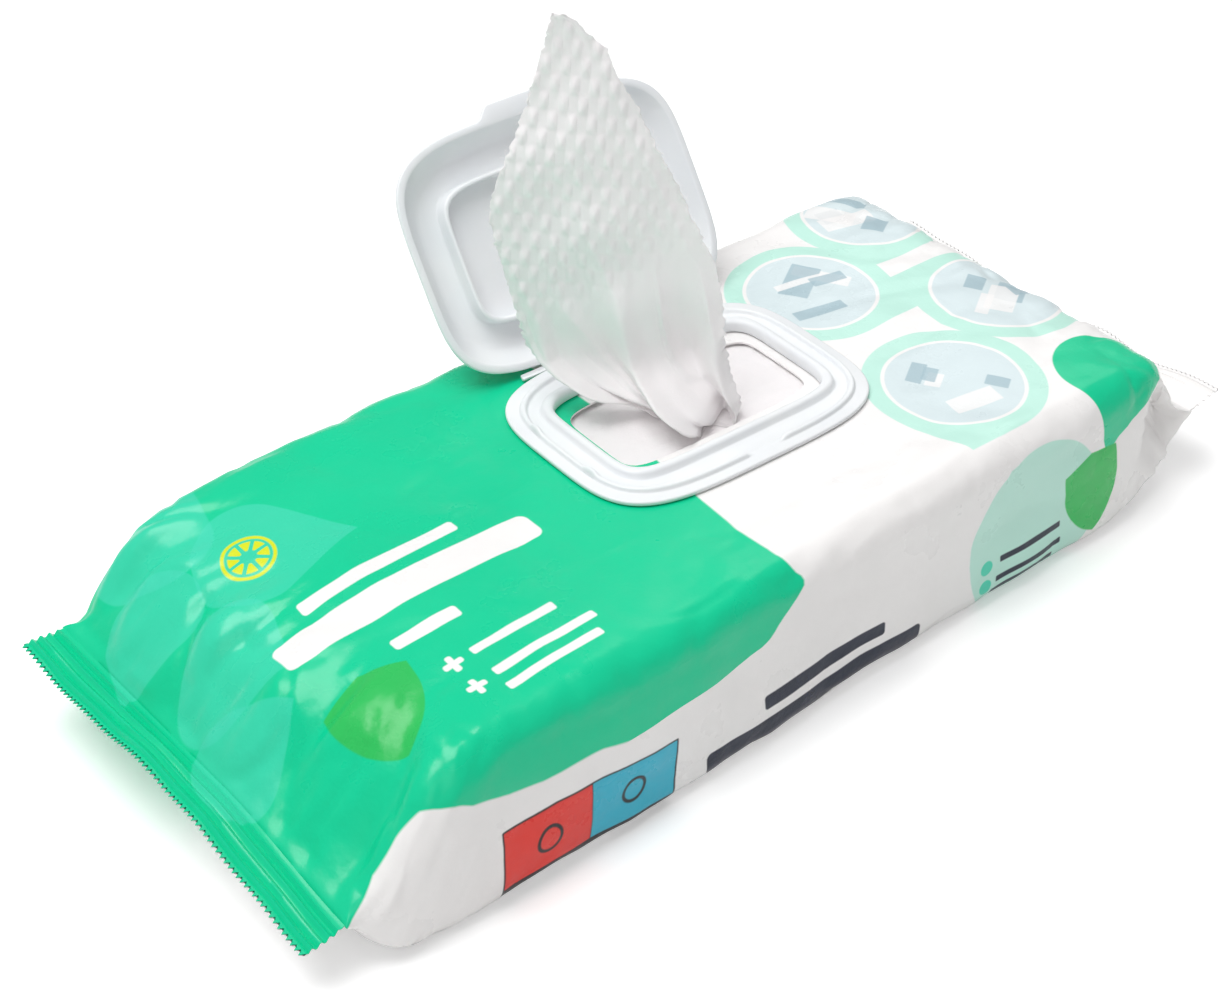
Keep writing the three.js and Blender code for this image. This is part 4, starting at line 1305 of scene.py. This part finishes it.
@dataclass
class PulledWipe:
    """The wipe pulled up through the mouth: a corner stands up, the rest is gathered into the mouth."""

    across: tuple[float, float] = (0.765, -0.644)
    out: tuple[float, float] = (-0.644, -0.765)
    # Height above the top face, left edge, right edge, gather depth.
    outline: tuple[tuple[float, float, float, float], ...] = (
        (-1.6, -9.5, 12.0, 6.0), (1.5, -13.0, 12.6, 5.0), (4.5, -20.0, 11.8, 5.5),
        (7.5, -29.0, 10.6, 6.4), (10.5, -35.8, 9.8, 6.0), (13.6, -39.4, 9.0, 5.6),
        (18.5, -40.6, 8.4, 5.0), (26.4, -41.6, 7.7, 4.2), (33.0, -42.8, 6.9, 3.6),
        (39.4, -44.1, 5.5, 3.0), (49.4, -46.4, 0.8, 2.4), (56.4, -46.6, -2.2, 2.0),
        (64.4, -44.1, -5.8, 1.7), (71.9, -40.8, -9.2, 1.5), (81.9, -37.5, -13.9, 1.3),
        (89.0, -35.5, -18.0, 1.1), (94.0, -34.1, -19.6, 0.9), (97.5, -33.3, -23.4, 0.8),
        (100.8, -32.5, -26.4, 0.6), (103.0, -31.9, -29.6, 0.5),
    )
    top_face: float = 45.65
    # Height that the cloth is pressed down to under the shut lid.
    rest_level: float = 43.9
    dot_pitch: float = 4.4
    dot_height: float = 0.8
    thickness: float = 0.28
    flat: tuple[float, float] = (0.165, 0.18)
    # Hidden part: share of its run, place along the packet from the mouth's centre, height.
    tail: tuple[tuple[float, float, float], ...] = (
        (0.0, 4, 44.4), (0.12, 20, 44.35), (0.26, 37, 44.3), (0.30, 36, 43.95), (0.72, -56, 43.85),
        (0.76, -55, 43.4), (1.0, -2, 43.3),
    )
    columns: int = 170
    rows: int = 210

    def width_at(self, z: Array, k: int) -> Array:
        """Column of the outline at a height."""
        data = np.array(self.outline)
        return np.interp(z, data[:, 0], data[:, k])

    def standing(self) -> Array:
        """Grid of the part above the mouth, from the top down."""
        z = np.linspace(self.outline[-1][0], self.outline[0][0], self.rows)
        u = np.linspace(-1, 1, self.columns)
        zz, uu = np.meshgrid(z, u, indexing="ij")
        left, right, deep = (self.width_at(zz, k) for k in (1, 2, 3))
        waves, crest = Waves(5), Waves(12)
        low = smooth(44, 6, zz)
        base = smooth(16, 2, zz)
        mid = (left + right) / 2
        half = (right - left) / 2
        phase = uu * math.pi
        fold = np.sin(phase * 2.3 + 0.5 + 0.02 * zz) + 0.5 * np.sin(phase * 4.7 + 1.2 + 0.03 * zz)
        s = mid + half * (uu + 0.05 * low * np.sin(phase * 2.3 + 2.3))
        d = deep * 0.62 * fold * (0.18 + 0.82 * low) * (1 - uu**8)
        d += 2.4 * np.cos(uu * 1.3) * smooth(105, 50, zz) * (1 - 0.6 * low)
        d += 1.2 * waves.at(s / 40, zz / 34) * (0.4 + 0.6 * smooth(115, 70, zz))
        d += 2.6 * low * crest.crease(uu * 1.3, zz / 80)
        bulge = np.exp(-(((zz - 3.5) / 6.2) ** 2))
        d += bulge * (6.5 + 6.5 * np.cos(phase * 0.8 - 0.3)) + 1.4 * base * waves.at(uu * 1.6, zz / 9)
        damp = smooth(28, 52, zz + 0.75 * (-s - 12))
        d += self.dot_height * self.dots(s, zz) * damp * (1 - 0.35 * smooth(99, 116, zz))
        frayed = Waves(44)
        s = s + 0.35 * frayed.at(uu * 0.0 + 1.0, zz / 2.2) * smooth(0.9, 1.0, np.abs(uu))
        x = TOP.x + self.across[0] * s + self.out[0] * d
        y = TOP.y + self.across[1] * s + self.out[1] * d
        return np.stack([x, y, zz + self.top_face], -1)

    def dots(self, s: Array, z: Array) -> Array:
        """Staggered round embossing, 1 on a dot."""
        p = self.dot_pitch
        a = math.radians(4)
        sx = (s * math.cos(a) - z * math.sin(a)) / p
        sz = (s * math.sin(a) + z * math.cos(a)) / p
        wave = np.cos(2 * math.pi * sx) * np.cos(math.pi * sz)
        return np.clip(wave, 0, 1) ** 0.85

    def hidden(self, edge: Array) -> Array:
        """Rest of the wipe, folded in three layers on the stack just under the film."""
        n = len(edge)
        u = np.linspace(-1, 1, n)
        turns = np.array(self.tail)
        rows = []
        for t in np.linspace(0, 1, 90)[1:]:
            along = np.interp(t, turns[:, 0], turns[:, 1])
            level = np.interp(t, turns[:, 0], turns[:, 2])
            wide = 14 + 37 * float(smooth(0.0, 0.12, np.array(t)))
            x = TOP.x + along + 2.0 * np.cos(u * 2.1)
            y = TOP.y - 3 + wide * u * 0.94
            dots = 0.35 * self.dots(x, y) * smooth(0.02, 0.08, np.array(t))
            target = np.column_stack([x, y, level + 0.08 * np.sin(u * 17) + dots])
            blend = float(smooth(0.0, 0.1, np.array(t)))
            rows.append(edge * (1 - blend) + target * blend)
        return np.array(rows)

    def build(self, finish: bpy.types.Material) -> list[bpy.types.Object]:
        """Make the wipe and its frayed edge fibres."""
        upper = self.standing()
        grid = np.concatenate([upper, self.hidden(upper[-1])])
        rows, columns = grid.shape[:2]
        faces = []
        for r in range(rows - 1):
            for c in range(columns - 1):
                a = r * columns + c
                faces.append([a, a + columns, a + columns + 1, a + 1])
        obj = mesh_object("pulled_wipe_cloth", grid.reshape(-1, 3), faces)
        solid = obj.modifiers.new("body", "SOLIDIFY")
        solid.thickness = self.thickness * MM
        solid.offset = 0.0
        made = bpy.data.meshes.new_from_object(obj.evaluated_get(bpy.context.evaluated_depsgraph_get()))
        obj.modifiers.clear()
        obj.data = made
        obj.data.shade_smooth()
        obj.data.materials.clear()
        obj.data.materials.append(finish)
        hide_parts("pulled_wipe")
        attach(obj, "packet")
        fibres = FrayedEdge().build(upper, finish)
        for piece in (obj, fibres):
            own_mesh(piece)
        return [obj, fibres]


@dataclass
class FrayedEdge:
    """Short loose fibres along the cut edges of the pulled wipe, scattered by a node tree."""

    per_metre: float = 2600.0
    length_mm: float = 1.5
    radius_mm: float = 0.03
    seed: int = 11

    def settings(self) -> dict[str, float | int]:
        """Named inputs of the node tree, in metres."""
        return {
            "Spacing": 1 / self.per_metre,
            "Fibre Length": self.length_mm * MM,
            "Fibre Radius": self.radius_mm * MM,
            "Seed": self.seed,
        }

    def tree(self, finish: bpy.types.Material) -> bpy.types.NodeTree:
        """Write the node tree: fibres along a line, each turned at random."""
        tree = bpy.data.node_groups.new("edge_fibres", "GeometryNodeTree")
        face = tree.interface
        face.new_socket("Geometry", in_out="INPUT", socket_type="NodeSocketGeometry")
        for name, value in self.settings().items():
            kind = "NodeSocketInt" if isinstance(value, int) else "NodeSocketFloat"
            face.new_socket(name, in_out="INPUT", socket_type=kind).default_value = value
        face.new_socket("Geometry", in_out="OUTPUT", socket_type="NodeSocketGeometry")
        n = Nodes(tree)
        given = n.node("NodeGroupInput").outputs
        length, seed = given["Fibre Length"], given["Seed"]
        curve = n.wired("GeometryNodeMeshToCurve", {0: given["Geometry"]}).outputs[0]
        spaced = {"Curve": curve, "Length": given["Spacing"]}
        points = n.wired("GeometryNodeCurveToPoints", spaced, mode="LENGTH").outputs["Points"]
        part = n.wired("ShaderNodeMath", {0: length, 1: 0.35}, operation="MULTIPLY").outputs[0]
        tip = n.wired("ShaderNodeCombineXYZ", {2: length}).outputs[0]
        middle = n.wired("ShaderNodeCombineXYZ", {0: part, 2: part}).outputs[0]
        bent = {"Resolution": 4, "Start": (0, 0, 0), "Middle": middle, "End": tip}
        bow = n.wired("GeometryNodeCurveQuadraticBezier", bent).outputs[0]
        round_cut = {"Resolution": 3, "Radius": given["Fibre Radius"]}
        ring = n.wired("GeometryNodeCurvePrimitiveCircle", round_cut).outputs[0]
        swept = {"Fill Caps": True, "Curve": bow, "Profile Curve": ring}
        tube = n.wired("GeometryNodeCurveToMesh", swept).outputs[0]
        any_way = {0: (-3.1, -3.1, -3.1), 1: (3.1, 3.1, 3.1), "Seed": seed}
        turn = n.wired("FunctionNodeRandomValue", any_way, data_type="FLOAT_VECTOR").outputs[0]
        any_size = {2: 0.35, 3: 1.15, "Seed": seed}
        size = n.wired("FunctionNodeRandomValue", any_size, data_type="FLOAT").outputs[1]
        strewn = {"Points": points, "Instance": tube, "Rotation": turn, "Scale": size}
        place = n.wired("GeometryNodeInstanceOnPoints", strewn).outputs[0]
        real = n.wired("GeometryNodeRealizeInstances", {0: place}).outputs[0]
        paint = n.wired("GeometryNodeSetMaterial", {0: real, "Material": finish}).outputs[0]
        n.wired("NodeGroupOutput", {0: paint})
        return tree

    def build(self, grid: Array, finish: bpy.types.Material) -> bpy.types.Object:
        """Scatter the fibres along the left, top and right edges of the standing part.

        Args:
            grid: Grid of the standing part, from the top down.
            finish: Material of the cloth.

        Returns:
            One mesh of all the fibres.
        """
        reach = int(len(grid) * 0.62)
        line = np.concatenate([grid[reach:0:-3, 0], grid[0, ::12], grid[1:reach:3, -1]])
        mesh = bpy.data.meshes.new("edge_line")
        mesh.from_pydata((line * MM).tolist(), [(i, i + 1) for i in range(len(line) - 1)], [])
        obj = bpy.data.objects.new("wipe_edge_fibres", mesh)
        bpy.context.scene.collection.objects.link(obj)
        modifier = obj.modifiers.new("fibres", "NODES")
        modifier.node_group = self.tree(finish)
        given = self.settings()
        for item in modifier.node_group.interface.items_tree:
            if item.in_out == "INPUT" and item.name in given:
                modifier[item.identifier] = given[item.name]
        made = bpy.data.meshes.new_from_object(obj.evaluated_get(bpy.context.evaluated_depsgraph_get()))
        obj.modifiers.clear()
        obj.data = made
        LOG.info("edge fibres: %d faces", len(made.polygons))
        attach(obj, "packet")
        return obj


@dataclass
class WipeStack:
    """The folded wipes in the packet: the frame's own solids."""

    count: int = 40

    def build(self, finish: bpy.types.Material) -> None:
        """Dress every wipe of the stack."""
        for k in range(1, self.count + 1):
            obj = bpy.data.objects.get(f"wipe_{k:02d}")
            if obj is None:
                continue
            obj.data.materials.clear()
            obj.data.materials.append(finish)
        LOG.info("stack: %d wipes", self.count)


@dataclass(frozen=True)
class Studio:
    """Floor, lights and camera."""

    camera_mm: tuple[float, float, float] = (-307.78, -345.23, 380.73)
    right: tuple[float, float, float] = (0.76507, -0.64394, 0.00356)
    up: tuple[float, float, float] = (0.39081, 0.46871, 0.7922)
    back: tuple[float, float, float] = (-0.5118, -0.6047, 0.61025)
    lens: float = 36 * 2386.137 / 1232
    floor_half: float = 6.0
    floor_gap: float = 0.05

    def camera(self) -> None:
        """Place the camera."""
        data = bpy.data.cameras.new("camera")
        data.lens = self.lens
        data.sensor_width = 36.0
        data.clip_start, data.clip_end = 0.01, 50.0
        cam = bpy.data.objects.new("camera", data)
        axes = [Vector(self.right), Vector(self.up), Vector(self.back)]
        turn = Matrix([[a[k] for a in axes] for k in range(3)]).to_4x4()
        cam.matrix_world = Matrix.Translation(Vector(self.camera_mm) * MM) @ turn
        bpy.context.scene.collection.objects.link(cam)
        bpy.context.scene.camera = cam

    def floor(self) -> None:
        """Lay the pale floor."""
        h = self.floor_half * 1000
        z = -self.floor_gap
        corners = np.array([[-h, -h, z], [h, -h, z], [h, h, z], [-h, h, z]])
        obj = mesh_object("floor", corners, [[0, 1, 2, 3]])
        material = bpy.data.materials.new("pale_floor")
        g = Graph(material)
        g.put(g.shader.inputs["Base Color"], (0.93, 0.93, 0.93, 1.0))
        g.put(g.shader.inputs["Roughness"], 0.9)
        ray = g.node("ShaderNodeLightPath")
        g.put(g.shader.inputs["Emission Color"], (1.0, 1.0, 1.0, 1.0))
        g.put(g.shader.inputs["Emission Strength"], g.math("MULTIPLY", ray.outputs["Is Camera Ray"], 0.25))
        obj.data.materials.append(material)

    def area(self, name: str, place: tuple[float, float, float], size: float, power: float) -> None:
        """One soft square lamp that looks at the packet."""
        data = bpy.data.lights.new(name, "AREA")
        data.shape = "SQUARE"
        data.size = size
        data.energy = power
        lamp = bpy.data.objects.new(name, data)
        lamp.location = place
        lamp.rotation_mode = "QUATERNION"
        lamp.rotation_quaternion = (Vector((0, 0, 0.04)) - Vector(place)).to_track_quat("-Z", "Y")
        bpy.context.scene.collection.objects.link(lamp)

    def world(self) -> None:
        """Pale surroundings: white to the camera, softer on the object."""
        world = bpy.data.worlds.new("studio")
        bpy.context.scene.world = world
        world.use_nodes = True
        tree = world.node_tree
        ground = tree.nodes["Background"]
        ray = tree.nodes.new("ShaderNodeLightPath")
        strength = tree.nodes.new("ShaderNodeMapRange")
        strength.inputs["To Min"].default_value = 0.37
        strength.inputs["To Max"].default_value = 1.0
        tree.links.new(ray.outputs["Is Camera Ray"], strength.inputs["Value"])
        tree.links.new(strength.outputs[0], ground.inputs["Strength"])
        ground.inputs["Color"].default_value = (1.0, 1.0, 1.0, 1.0)

    def build(self) -> None:
        """Set up the whole studio."""
        self.camera()
        self.floor()
        self.world()
        self.area("top_lamp", (-0.35, 0.2, 1.5), 1.1, 19.5)
        self.area("front_lamp", (-0.9, -0.9, 1.0), 0.9, 2.2)
        self.area("back_lamp", (0.9, 0.5, 0.95), 0.6, 1.6)
        bpy.context.scene.view_settings.view_transform = "Standard"


def main() -> None:
    """Build the scene in order."""
    logging.basicConfig(level=logging.INFO, format="%(name)s: %(message)s")
    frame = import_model()
    LOG.info("frame: %d nodes", len(frame["nodes"]))
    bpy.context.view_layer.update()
    Studio().build()
    film = PrintedFilm().build()
    plastic = MouldedWhite().build()
    cloth = DampCloth().build()
    WipeStack().build(cloth)
    FilmWrapper.from_frame().build(film)
    Closure().build(plastic)
    PulledWipe().build(cloth)
    bpy.context.view_layer.update()


if __name__ == "__main__":
    main()
